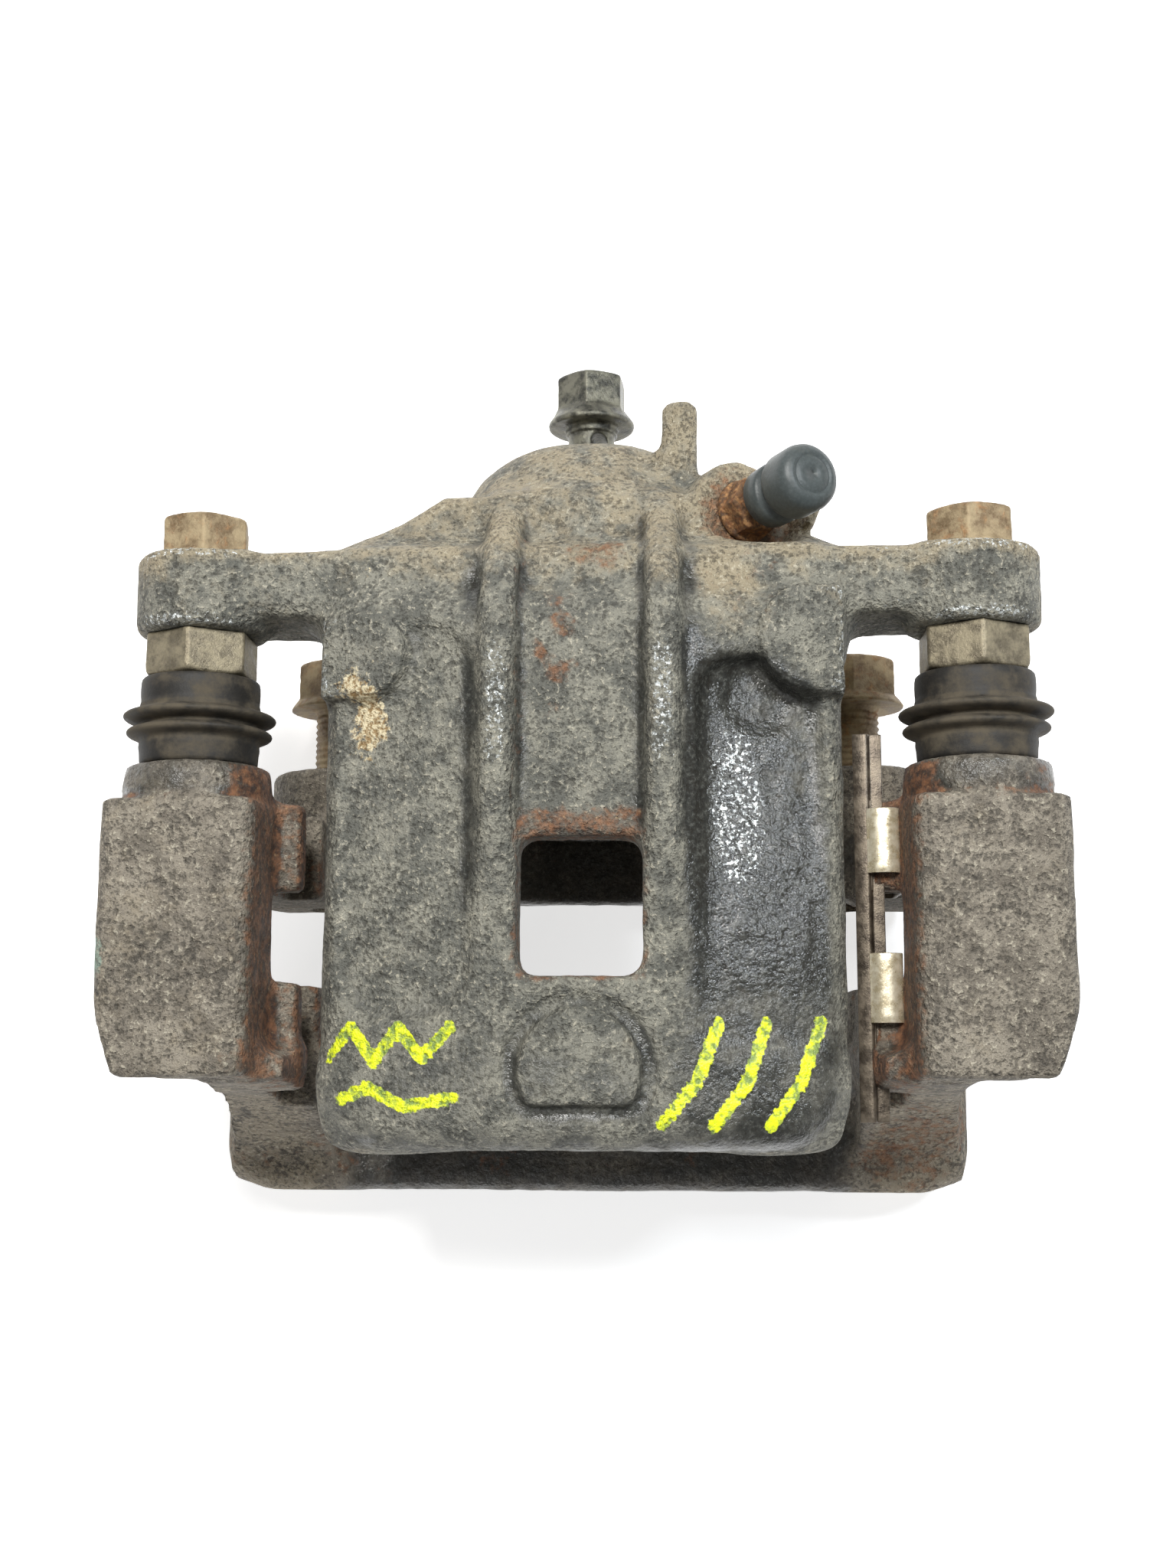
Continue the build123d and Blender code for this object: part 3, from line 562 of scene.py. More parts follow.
def rubber_material(name, base, dusty, amount=0.5, rough=0.62):
    s = Shader(name)
    cloud = s.noise(4, 5, 0.65)
    fine = s.noise(0.6, 4, 0.7)
    dirt = s.ramp(s.math("ADD", cloud, s.math("MULTIPLY", s.mask("dust"), amount)), 0.55, 1.0)
    colour = s.mix(s.ramp(fine, 0.4, 0.7), base, tuple(c * 1.35 for c in base))
    colour = s.mix(dirt, colour, dusty)
    return s.finish(colour, s.blend(dirt, rough, 0.9), s.relief(fine, 0.12, 0.5))


body_iron = casting_material("cast_body", srgb(136, 134, 122), srgb(94, 94, 87), srgb(168, 154, 126))
bracket_iron = casting_material(
    "cast_bracket", srgb(144, 136, 122), srgb(108, 101, 90), srgb(160, 148, 126), 0.75
)
brown_bolt = steel_material("rusty_bolt", srgb(172, 154, 122), srgb(112, 92, 66), 0.36, 0.55, 0.3, 3.5)
rusted_screw = steel_material("rusted_screw", srgb(120, 92, 66), srgb(62, 46, 36), 0.5, 0.6, 0.2, 1.6, 0.4)
oily_bolt = steel_material("dark_bolt", srgb(128, 126, 112), srgb(58, 58, 54), 0.16, 0.35, 0.55, 2.5)
pin_steel = steel_material("pin_steel", srgb(156, 146, 122), srgb(104, 96, 80), 0.16, 0.45, 0.5, 3.0)
piston_steel = steel_material(
    "piston_steel", srgb(176, 174, 166), srgb(120, 118, 112), 0.08, 0.3, 0.85, 6.0, 0.08
)
spring_dark = steel_material("spring_sheet", srgb(122, 112, 98), srgb(74, 66, 58), 0.06, 0.38, 0.7, 2.5, 0.1)
boot_rubber = rubber_material("boot_rubber", srgb(32, 30, 27), srgb(86, 78, 64), 0.4)
seal_rubber = rubber_material("seal_rubber", srgb(40, 40, 40), srgb(90, 86, 78), 0.3)
cap_rubber = rubber_material("cap_rubber", srgb(66, 72, 72), srgb(96, 96, 88), 0.12, 0.42)


# ---- caliper body
def roof_height(x):
    return roof_crown - roof_radius + np.sqrt(roof_radius**2 - x**2)


def bridge_plan(x, yy):
    """Outline of the bridge: rounded outboard corners, small ones inboard."""
    outboard = rectangle(x, yy, -bridge_half, bridge_half, bridge_outboard, 30.0, 11.0)
    inboard = rectangle(x, yy, -bridge_half, bridge_half, 0.0, bridge_inboard, 3.5)
    return np.minimum(outboard, inboard)


def lobe_plan(x, yy, side):
    """A round-ended pad that grows from the bridge's side edge, larger on the right."""
    radius, at, reach = (9.2, 48.0, 38.3) if side > 0 else (7.2, 45.6, 36.0)
    head = circle(x, yy, side * reach, at, radius)
    stem = rectangle(x * side, yy, reach, bridge_half, at - radius, at + radius)
    return np.maximum(np.minimum(head, stem), np.abs(x) - bridge_half)


def body_clay(step):
    c = Clay(body_low - 2.5, body_high + 2.5, step)
    x, yy, z = c.x, c.yy, c.z
    roof = np.hypot(x, z - (roof_crown - roof_radius)) - roof_radius
    arch = arch_radius - np.hypot(x, z - axle_z)
    plan = bridge_plan(x, yy)
    c.d = soft_max(soft_max(np.broadcast_to(roof, c.d.shape), plan, 7.0), arch, 2.0).astype(np.float32)
    # Fingers
    gap = 19.0
    edge = 3.0
    fingers = polygon(x, z, [(-40.0, 24.0), (40.0, 24.0), (41.5, 66.0), (-41.5, 66.0)])
    fingers = soft_max(fingers, -circle(x, z, 0, bore_z, gap), edge)
    fingers = soft_max(fingers, -rectangle(x, z, -gap, gap, 0.0, bore_z), edge)
    fingers = prism(fingers + edge, yy, bridge_outboard + edge, -20.7 - edge) - edge
    c.add(fingers, 5.0)
    # Ribs, from beside the window to the dome
    profile = [(-6.0, 73.0), (4.0, 77.4), (14.0, 79.4), (24.0, top), (44.0, top)]
    profile += [(52.0, 79.6), (59.0, 77.0), (66.5, 71.2), (73.0, 64.8), (79.5, 57.0), (84.0, 50.0)]
    profile += [(76.0, 46.0), (40.0, 66.0), (-6.0, 70.0)]
    ribs = prism(polygon(yy, z, profile), np.abs(x), 10.4, 16.4, 2.6)
    # Cylinder, dome and hose seat
    r = np.hypot(x, z - bore_z)
    draft = cylinder_draft * np.clip((yy - mouth) / (cylinder_back - mouth), 0, 1)
    barrel = r - (cylinder_radius - draft)
    dome = np.hypot(yy - cylinder_back, np.maximum(r - 8.6, 0) * 0.9375) - 15.0
    cylinder = np.where(yy < cylinder_back, np.maximum(barrel, mouth - yy), dome)
    outline = [(mouth, 40.0), (mouth, 70.0), (bridge_inboard, 71.0), (59.0, 68.6)]
    outline += [(arm_inboard, 61.0), (arm_inboard, 46.0), (arm_outboard, 40.0)]
    mass = prism(polygon(yy, z, outline), x, -37.5, 37.5, 2.0)
    cylinder = soft_min(cylinder, mass, 9.0)
    back_half = cylinder_radius - cylinder_draft
    outline = [(-bridge_half, 47.2), (bridge_half, 47.2), (bridge_half, arm_inboard)]
    outline += [(back_half, cylinder_back), (-back_half, cylinder_back), (-bridge_half, arm_inboard)]
    shoulders = prism(polygon(x, yy, outline), z, arm_low, 62.5, 3.0)
    cylinder = soft_min(cylinder, shoulders, 9.0)
    arms = prism(rectangle(x, z, -pin_x, pin_x, arm_low, 70.0, 4.0), yy, arm_outboard, arm_inboard, 2.5)
    ears = prism(circle(np.abs(x), z, pin_x, pin_z, 11.4), yy, pin_hex_end, arm_inboard, 1.6)
    arms = soft_min(arms, ears, 3.0)
    arms = soft_min(arms, cylinder, 7.0)
    c.add(arms, 5.0)
    # Casting peg beside the hose bolt
    peg = c.bar((16.6, disc + 76.0, 52.0), (16.6, disc + 96.3, 52.0), 3.3, 1.8)
    foot = c.bar((14.6, disc + 76.0, 51.0), (15.0, disc + 87.5, 51.5), 3.4, 2.0)
    c.add(soft_min(peg, foot, 2.0), 2.5)
    # Boss for the bleeder, its stop tab and the flat web beside it
    end = bleeder_seat - bleeder_axis * 21
    c.add(c.bar(bleeder_seat, end, 9.4, 1.0), 1.2)
    tip = np.array([3.5, -9.5, -2.4])
    plate = c.bar(bleeder_seat + tip, end + tip, 4.2, 1.0)
    plate = soft_min(plate, c.bar(bleeder_seat + tip * 0.5, end + tip * 0.5, 7.4, 1.0), 3.0)
    c.add(plate, 1.5)
    web = [(19.8, 66.7), (39.8, 60.8), (39.8, 71.0), (19.8, 78.0)]
    c.add(prism(polygon(x, yy, web), z, 46.0, 53.0, 1.5), 3.0)
    tab = prism(rectangle(x, z, 33.8, 39.8, 51.0, 61.0, 1.0), yy, 70.7, 74.1, 1.0)
    hook = c.bar((38.6, disc + 72.6, 57.0), (40.6, disc + 76.0, 58.6), 1.5, 1.0)
    c.add(soft_min(tab, hook, 2.0), 2.0)
    c.add(ribs, 1.6)
    # Panels beside the ribs, sunk below the side rims
    left = rectangle(x, yy, -39.5, -17.6, -14.0, 50.0, 8.0)
    left = soft_max(left, 0.6 - lobe_plan(x, yy, -1), 2.0)
    c.cut(soft_max(left, roof_height(x) - 1.9 - z, 2.0), 1.8)
    # Wet channel to the right, deepest against the lobe at its inboard end
    fall = 0.5 + 3.3 * fade(yy, -12.0, 34.0)
    hollow = rectangle(x, yy, 19.2, 39.6, -19.0, 44.0, 6.0)
    hollow = soft_max(hollow, 0.6 - lobe_plan(x, yy, 1), 2.0)
    c.cut(soft_max(hollow, roof_height(x) - fall - z, 3.0), 2.4)
    nook = prism(circle(x, yy, 29.5, 38.5, 6.0), z - roof_height(x), -4.8, 4.0, 2.0)
    c.cut(soft_max(nook, 0.6 - lobe_plan(x, yy, 1), 1.5), 2.0)
    side_groove = c.bar((38.6, disc + 34.0, 78.2), (38.2, disc + 4.0, 80.4), 3.4, 3.0)
    c.cut(side_groove, 3.0)
    # Flat groove between the ribs
    groove = prism(rectangle(x, yy, -9.6, 9.6, window_end, 70.0), z, roof_crown - 2.0, 90.0)
    c.cut(groove, 2.4)
    # Lobes in the inboard corners
    for side in (-1, 1):
        lobe = prism(lobe_plan(x, yy, side), z - roof_height(np.clip(x, -43, 43)), -6.0, 1.7, 1.1)
        c.add(lobe, 0.8)
    # Marker boss, a disc with a flat, in a shallow ring
    marker = soft_max(circle(x, yy, 0, -22.3, 9.8), -27.7 - yy, 1.0)
    c.cut(prism(np.abs(marker - 1.2) - 1.2, z - roof_height(x), -1.1, 3.0), 0.8)
    c.add(prism(marker, z - roof_height(x), -3.0, 0.9, 0.8), 0.4)
    # Space above the bleeder's seat
    c.cut(c.bar(bleeder_seat, bleeder_seat + bleeder_axis * 26, 8.8))
    # Window
    c.cut(rectangle(x, yy, -window_half, window_half, window_start, window_end, 3.0), 1.6)
    # Machined bores and faces
    flat = c.bar((0, disc + 90.9, bore_z), (0, disc + 96.0, bore_z), 8.4)
    c.cut(flat, 0.3)
    piston_bore = (0.0, 80.0, 19.05)
    boot_bore = (0.0, 34.8, 24.4)
    seal_groove = (40.0, 43.0, 21.55)
    hose_bore = (79.0, 95.0, 5.02)
    for start, end, radius in (piston_bore, boot_bore, seal_groove, hose_bore):
        c.cut(prism(r - radius, yy, start, end))
    c.cut(c.bar(bleeder_seat + bleeder_axis, bleeder_seat - bleeder_axis * 13.5, 4.02))
    for side in (-1, 1):
        c.cut(prism(circle(x, z, side * pin_x, pin_z, 4.02), yy, 40.0, 70.0))
    c.keep(z - top)
    return c


def body_rough(p, n, curve):
    yy = p[:, 1] - disc
    r = np.hypot(p[:, 0], p[:, 2] - bore_z)
    machined = (r < 25.5) & (yy > 28) & (yy < 81) | (r < 5.6) & (yy > 78)
    hole = np.hypot(np.abs(p[:, 0]) - pin_x, p[:, 2] - pin_z) < 5
    along = (p - bleeder_seat) @ bleeder_axis
    away = np.linalg.norm(p - bleeder_seat - along[:, None] * bleeder_axis, axis=1)
    amount = np.where(machined | hole | (away < 4.6) & (along > -15), 0.0, 1.0)
    channel = fade(p[:, 0], 18, 22) * (1 - fade(p[:, 0], 37, 40)) * fade(yy, -18, -8)
    channel *= (1 - fade(yy, 36, 42)) * fade(p[:, 2], 66, 71)
    lumps = 0.2 * channel * noise(p, 2.6, 13)
    return amount * (0.13 * noise(p, 2.0, 3, 2) + 0.16 * noise(p, 7.0, 5) + lumps - 0.07)


# Plain paint-pen dashes, with no lettering
PEN_STROKES = [
    [(-41.0, -20.5), (-37.0, -15.5), (-33.0, -21.0), (-29.0, -15.5), (-25.0, -20.5), (-20.5, -15.5)],
    [(-38.5, -27.0), (-34.0, -25.0), (-28.0, -28.0), (-20.0, -26.5)],
    [(13.0, -30.5), (18.5, -24.0), (22.0, -15.0)],
    [(21.0, -31.0), (26.5, -24.0), (29.5, -15.0)],
    [(30.0, -31.0), (35.0, -24.0), (38.5, -14.5)],
]


def pen_stroke(x, yy, points, width):
    """Distance-based mask of a paint-pen stroke on the roof."""
    best = np.full(len(x), 1e9)
    for (x0, y0), (x1, y1) in zip(points, points[1:]):
        ex, ey = x1 - x0, y1 - y0
        t = np.clip(((x - x0) * ex + (yy - y0) * ey) / (ex * ex + ey * ey), 0, 1)
        best = np.minimum(best, np.hypot(x - x0 - t * ex, yy - y0 - t * ey))
    return 1 - fade(best, width * 0.3, width * 0.75)


def body_paint(p, n, curve):
    x, y, z = p.T
    yy = y - disc
    ax = np.abs(x)
    up = np.clip(n[:, 2], 0, 1)
    roof = fade(z, 66, 71)
    blot = noise(p, 6.0, 11, 2)
    crest = fade(curve, 0.05, 0.4)
    # Painted shade: darker in concave corners and creases
    hollow_shade = fade(-curve, 0.05, 0.4)
    far = fade(yy, 50, 66)
    side = np.abs(ax - 13.4)
    channel = fade(x, 15, 20) * (1 - fade(x, 38, 42)) * fade(yy, -20, 2)
    channel *= (1 - fade(yy + 0.3 * (x - 30), 42, 47)) * roof
    channel *= fade(lobe_plan(x, yy, 1), -1.5, 0.5)
    right = fade(x, 12, 20) * (1 - fade(yy, 44, 56)) * roof
    dust = 0.18 + 0.42 * far + 0.35 * blot + 0.2 * crest - 0.25 * roof * (1 - far)
    # Painted shade along the groove's walls, at the ribs' inner feet
    groove_wall_shade = fade(ax, 8.6, 9.8) * (1 - fade(ax, 10.4, 11.6))
    groove_wall_shade *= fade(yy, 12, 18) * fade(z, 54, 66)
    # Painted shade in the hollow under the right lobe
    under_lobe_shade = spot(p, (31.0, disc + 38.5, 74.5), (9, 8, 6))
    dark = 0.08 + 0.3 * hollow_shade + 0.66 * channel + 0.3 * right * (1 - fade(yy, -20, 30))
    dark += 0.2 * blot + 0.6 * under_lobe_shade
    # Painted shade on the ribs' outer flanks
    rib_flank_shade = fade(-np.abs(ax - 18.2), -2.6, 0) * fade(yy, -2, 12) * (1 - fade(yy, 62, 76))
    dark += 0.42 * rib_flank_shade * fade(z, 60, 70) + 0.3 * groove_wall_shade
    dark += 0.4 * (1 - fade(z, 52, 66)) * (1 - fade(yy, 40, 60))
    dark += 0.25 * fade(-yy, 8, 24) * roof
    groove = (1 - fade(ax, 9.6, 11.5)) * fade(yy, 12, 16) * fade(z, 50, 66)
    inner = fade(ax, 8.2, 9.6) * (1 - fade(ax, 10.8, 12.2)) * fade(yy, 2, 14) * fade(z, 54, 66)
    beyond = np.maximum(yy - window_end, window_start - yy)
    edge = 1 - fade(np.maximum(ax - window_half, beyond), 0.2, 2.2)
    band = (1 - fade(ax, 9, 12)) * fade(yy, 13, 15) * (1 - fade(yy, 17.5, 22)) * roof
    patch = 0.55 * spot(p, (-4.0, disc + 46, 76), (6, 16, 9))
    patch += 0.45 * spot(p, (2.0, disc + 66, 70), (8, 11, 9))
    rust = 0.1 + 0.2 * inner * (x < 0) + 0.08 * groove * blot + patch * fade(noise(p, 3.5, 23, 2), -0.5, 0.3)
    rust = np.maximum(rust, 0.42 * edge * roof * (1 + 0.5 * noise(p, 4.0, 27, 2)))
    rust = np.maximum(rust, 0.62 * band)
    boss = spot(p, (bleeder_seat[0], disc + 72, 58), (13, 13, 13))
    rust = np.maximum(rust, 0.62 * boss)
    dust += 0.4 * boss + 0.5 * spot(p, (24.0, disc + 55, 72), (9, 12, 12))
    rust += 0.16 * fade(x, 14, 22) * fade(yy, 44, 54) * (1 - fade(x, 30, 40))
    rust *= 1 - 0.9 * channel
    cream = 0.55 * spot(p, (-36, disc + 33, 74), (7, 14, 8))
    cream += 0.42 * (x < -16) * roof * fade(noise(p, 5, 31, 2), -0.2, 0.6)
    cream += 0.2 * inner * (x < 0) * fade(yy, 20, 40)
    cream = cream * (1 - fade(-x, 41, 43)) * fade(yy, -20, -5)
    wear_and_glint = 0.36 * (1 - fade(side, 1.0, 3.2)) * fade(yy, 18, 30) * (1 - fade(yy, 44, 52)) * fade(z, 77, 79.5)
    # Painted highlight: pale specks in the wet channel beside the right rib, standing for its glints
    wear_and_glint += 0.47 * spot(p, (25.5, disc + 20.0, 73.0), (8.5, 27, 12)) * fade(x, 18, 21)
    wear_and_glint += 0.35 * crest * roof * fade(ax, 36, 42) + 0.12 * crest
    paint = np.zeros(len(x))
    for stroke in PEN_STROKES:
        paint = np.maximum(paint, pen_stroke(x, yy, stroke, 2.0))
    paint *= 0.95 * roof * up
    return {"dust": dust, "dark": dark, "rust": rust, "cream": cream, "wear_and_glint": wear_and_glint, "paint": paint}


# ---- carrier bracket
def bracket_clay(step):
    low, high = bracket_low - 2.5, bracket_high + 2.5
    c = Clay(low, high, step)
    x, yy, z = c.x, c.yy, c.z
    ax = np.abs(x)
    block = rectangle(ax, z, tower_inner, tower_outer, tower_low, tower_high, 3.6)
    tower = prism(block, yy, tower_outboard, tower_inboard, 0.9)
    # Chamfer on the tower's outboard outer corner
    deep, wide = 11.4, 4.3
    chamfer = ((ax - tower_outer) * deep - (yy - tower_outboard - deep) * wide) / math.hypot(deep, wide)
    tower = soft_max(tower, chamfer, 0.8)
    c.add(tower)
    # Turned collar at the tower's mouth: a cone with a rolled lip at its foot
    ring = np.hypot(ax - pin_x, z - pin_z)
    collar = prism(ring - (12.8 - 0.1 * np.clip(yy - tower_inboard, 0, 7)), yy, 14.0, tower_end, 1.2)
    c.add(collar, 0.6)
    c.cut(np.hypot(ring - 13.2, yy - 22.9) - 0.9, 0.6)
    outline = [(leg_face, 8.0), (leg_face, 57.0), (55.5, 57.0), (75.3, 53.0), (70.3, 41.0)]
    leg = polygon(ax, z, outline + [(64.0, 16.0), (63.0, 8.0)])
    for start, end in ((tower_outboard, -slot_half), (slot_half, 23.2)):
        c.add(prism(leg, yy, start, end, 1.5), 3.0)
    # Curved gusset from the tie up to the tower
    curve = [(-43.5, 14.0), (-38.6, 21.0), (-33.6, 29.0), (-29.6, 38.0)]
    curve += [(-26.6, 48.0), (-24.8, 58.0), (-23.6, 66.0)]
    gusset = polygon(yy, z, curve + [(-20.0, 66.0), (-20.0, 5.0), (-43.5, 5.0)])
    outer = 69.0 - 0.15 * np.clip(z - 14.0, 0, 60)
    gusset = np.maximum(gusset, np.maximum(ax - outer, leg_face - ax))
    c.add(gusset, 5.0)
    lug = prism(circle(ax, z, lug_x, lug_z, lug_radius), yy, lug_outboard, lug_inboard, 1.5)
    c.add(lug, 3.0)
    # Beam between the lugs, arched under its middle
    rise, half_span = 7.0, 40.0
    arch = rise - (rise / half_span**2) * x**2
    beam = np.maximum(rectangle(x, z, -50.0, 50.0, 0.0, 15.0, 1.5), arch - z)
    c.add(prism(beam, yy, lug_outboard, beam_inboard, 2.0), 4.0)
    # Dip that lets the piston's boot pass over the beam
    c.cut(prism(circle(x, z, 0, bore_z, 22.2), yy, 0.0, 30.0), 1.5)
    # Tie outboard of the disc, open for the fingers
    tie = rectangle(x, yy, -tie_half, tie_half, tie_outboard, -9.0, 10.0)
    tie = np.maximum(tie, -rectangle(x, yy, -leg_face, leg_face, -28.5, 20.0, 3.0))
    tie = soft_max(tie, yy + 10.5, 1.0)
    c.add(prism(tie, z, 0.0, 19.0, 3.4), 5.0)
    # Room for the disc
    disc_room = np.hypot(x, z - axle_z) - arch_radius
    c.cut(prism(disc_room, yy, -slot_half, slot_half), 1.0)
    # Notches for the pads' ears
    c.cut(prism(rectangle(ax, z, 45.0, 55.0, 40.0, 52.0, 0.6), yy, -40.0, 40.0), 0.5)
    # Bores
    c.cut(prism(circle(ax, z, pin_x, pin_z, 5.05), yy, -19.5, 40.0))
    c.cut(prism(circle(ax, z, pin_x, pin_z, 8.0), yy, 25.4, 40.0))
    c.cut(prism(circle(ax, z, lug_x, lug_z, 6.02), yy, 0.0, 40.0))
    c.keep(-z)
    return c


def bracket_rough(p, n, curve):
    yy = p[:, 1] - disc
    bore = np.hypot(np.abs(p[:, 0]) - pin_x, p[:, 2] - pin_z) < 8.6
    bore &= yy > -21
    hole = np.hypot(np.abs(p[:, 0]) - lug_x, p[:, 2] - lug_z) < 6.6
    amount = np.where(bore | hole, 0.0, 1.0) * fade(p[:, 2], 0.1, 1.5)
    return amount * (0.12 * noise(p, 2.1, 7, 2) + 0.16 * noise(p, 8.0, 9) - 0.08)


def bracket_paint(p, n, curve):
    x, y, z = p.T
    yy = y - disc
    ax = np.abs(x)
    blot = noise(p, 7.0, 41, 2)
    # Painted shade: darker in concave corners
    hollow_shade = fade(-curve, 0.05, 0.4)
    upper = fade(z, 44, 60)
    inner = (1 - fade(ax, 54, 60)) * upper
    dust = 0.2 + 0.32 * blot + 0.12 * (x < 0) * upper
    # Painted shadow of the caliper body on the beam and tie below it
    shadow_under_body = (1 - fade(z, 20, 40)) * (1 - fade(ax, 44, 52))
    dark = 0.08 + 0.4 * hollow_shade + 0.5 * shadow_under_body + 0.2 * blot
    dark += 0.35 * fade(yy, 22, 23.5) * upper
    dust += 0.5 * fade(ax, 48, 54) * (1 - fade(yy, -30, -22))
    rust = 0.14 + 0.3 * inner + 0.35 * spot(p, (60, disc - 33, 24), (14, 16, 22))
    rust += 0.25 * fade(noise(p, 10, 51, 2), 0.1, 0.6)
    inward = fade(-n[:, 0] * np.sign(x), 0.4, 0.8) * fade(z, 30, 46)
    dark += 0.3 * inward
    rust += 0.35 * inward
    rust += 0.45 * fade(yy, 20, 22) * (1 - fade(yy, 22.5, 24)) * upper
    rust = rust * (1 - 0.5 * fade(z, 70, 74))
    teal = 0.75 * spot(p, (-pin_x - 12, disc - 4, 70), (6, 8, 8))
    wear_and_glint = 0.1 * fade(curve, 0.1, 0.5)
    return {"dust": dust, "dark": dark, "rust": rust, "wear_and_glint": wear_and_glint, "teal": teal}


BODY_STEP = 0.85
BRACKET_STEP = 0.95
body = body_clay(BODY_STEP)
cast("caliper_casting", body, "caliper", body_iron, body_paint, body_rough, ("caliper_body",))
bracket = bracket_clay(BRACKET_STEP)
cast(
    "carrier_casting", bracket, "carrier",
    bracket_iron, bracket_paint, bracket_rough, ("carrier",),
)


# ---- bolts and pins
def metal_rough(amount, seed):
    def rough(p, n, curve):
        return amount * (noise(p, 0.9, seed, 2) + 0.6 * noise(p, 3.0, seed + 1) - 0.4)

    return rough


def clay_round(node, step):
    """Clay with room for one CAD piece."""
    low, high = corners(node)
    return Clay(low - 1, high + 1, step)


def thread(yy, depth, pitch=1.25):
    return depth * np.abs(((yy / pitch) % 1.0) - 0.5) * 2


def hex_head(c, at, low, high, flats, chamfer=0.6, turn=0.0, toward=1):
    """A hexagonal head on the Y axis through at, its far end turned down to a cone."""
    x, yy, z = c.x - at[0], c.yy, c.z - at[1]
    head = prism(hexagon(x, z, flats, turn) + 0.35, yy, low + 0.35, high - 0.35) - 0.35
    face = high if toward > 0 else low
    slope = (np.hypot(x, z) - flats * 0.5 + toward * (yy - face) * 1.7 - chamfer * 0.2) / 1.97
    return soft_max(head, slope, 0.5)


STEP = 0.25
for side, sign in (("left", -1), ("right", 1)):
    # Carrier bolt: flange, head and threaded shank
    node = f"mounting_bolt_{side}"
    flange_foot = 47.3
    c = clay_round(node, STEP * 1.3)
    at = (sign * lug_x, lug_z)
    ring = np.hypot(c.x - at[0], c.z - at[1])
    c.add(prism(ring - (10.98 - 0.6 * np.clip(c.yy - flange_foot, 0, 2)), c.yy, flange_foot, 49.1, 0.4))
    c.add(hex_head(c, at, 48.0, 56.8, 17.0), 0.8)
    c.add(prism(ring - 5.95 + thread(c.yy, 0.45) * (c.yy < 46.5), c.yy, 10.0, 48.0, 0.6))
    skin = metal_rough(0.07, 61)
    cast(f"carrier_bolt_{side}", c, "carrier", brown_bolt, None, skin, (node,))

    # Slider bolt: head on the ear, with its thread in the pin
    node = f"guide_bolt_{side}"
    c = clay_round(node, STEP * 1.3)
    at = (sign * pin_x, pin_z)
    ring = np.hypot(c.x - at[0], c.z - at[1])
    c.add(hex_head(c, at, arm_inboard, 72.0, 14.0, turn=0.2 * sign))
    c.add(prism(ring - 7.6, c.yy, arm_inboard, arm_inboard + 1.1, 0.4), 0.5)
    c.add(prism(ring - 3.97 + thread(c.yy, 0.35), c.yy, arm_inboard - 18.9, arm_inboard + 1, 0.4))
    skin = metal_rough(0.07, 71)
    cast(f"slider_bolt_{side}", c, "caliper", brown_bolt, None, skin, (node,))

    # Slider pin: hexagon, shank, and room for the bush at the right pin's tip
    node = f"guide_pin_{side}"
    c = clay_round(node, STEP * 1.5)
    ring = np.hypot(c.x - at[0], c.z - at[1])
    c.add(hex_head(c, at, boot_end, pin_hex_end, 17.0, 0.3, toward=-1))
    c.add(prism(ring - 4.97, c.yy, -11.9, boot_end + 1, 0.8))
    if side == "right":
        c.cut(prism(-(ring - 3.8), c.yy, -10.0, 2.0))
    c.cut(prism(ring - 4.05, c.yy, boot_end + 1.0, 60.0))
    skin = metal_rough(0.05, 81)
    cast(f"slider_pin_{side}", c, "caliper", pin_steel, None, skin, (node,))

    # Rubber boot: lip in the tower, two rings, neck on the pin
    profile = [(tower_end - 2.6, 7.9), (tower_end, 7.95), (tower_end, 9.7), (tower_end + 0.5, 10.0)]
    profile += [(tower_end + 2.6, 10.0), (tower_end + 3.2, 10.3)]
    for middle, reach in ((34.0, 12.3), (36.8, 12.9)):
        profile += [(middle - 1.0, 9.9), (middle - 0.7, reach - 0.7), (middle - 0.2, reach)]
        profile += [(middle + 0.3, reach), (middle + 0.8, reach - 0.7), (middle + 1.1, 9.9)]
    neck_end = boot_end - 0.05
    profile += [(38.8, 10.3), (39.4, 9.9), (40.2, 10.1), (43.0, 10.1), (43.5, 9.8), (neck_end, 9.0)]
    profile += [(neck_end, 5.1), (40.4, 5.1), (39.6, 7.5), (38.3, 8.9), (36.9, 10.2), (35.4, 8.9)]
    profile += [(34.0, 9.4), (31.6, 7.9), (tower_end - 2.6, 6.6)]
    profile = [(a + disc, b) for a, b in profile]
    line = (at[0], 0, at[1])
    boot = lathe(f"rubber_boot_{side}", profile, line, (0, 1, 0), None, boot_rubber)
    smoother = boot.modifiers.new("soft", "SUBSURF")
    smoother.levels = smoother.render_levels = 1
    bpy.context.view_layer.objects.active = boot
    boot.select_set(True)
    bpy.ops.object.modifier_apply(modifier="soft")
    boot.select_set(False)
    co = np.array([v.co for v in boot.data.vertices]) / MM
    on_rings = (co[:, 1] - disc > 32) * (co[:, 1] - disc < 39)
    attribute(boot, "dust", np.clip(0.45 + 0.5 * noise(co, 4.0, 91, 2) + 0.3 * on_rings, 0, 1))
    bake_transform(boot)
    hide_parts(f"pin_boot_{side}")

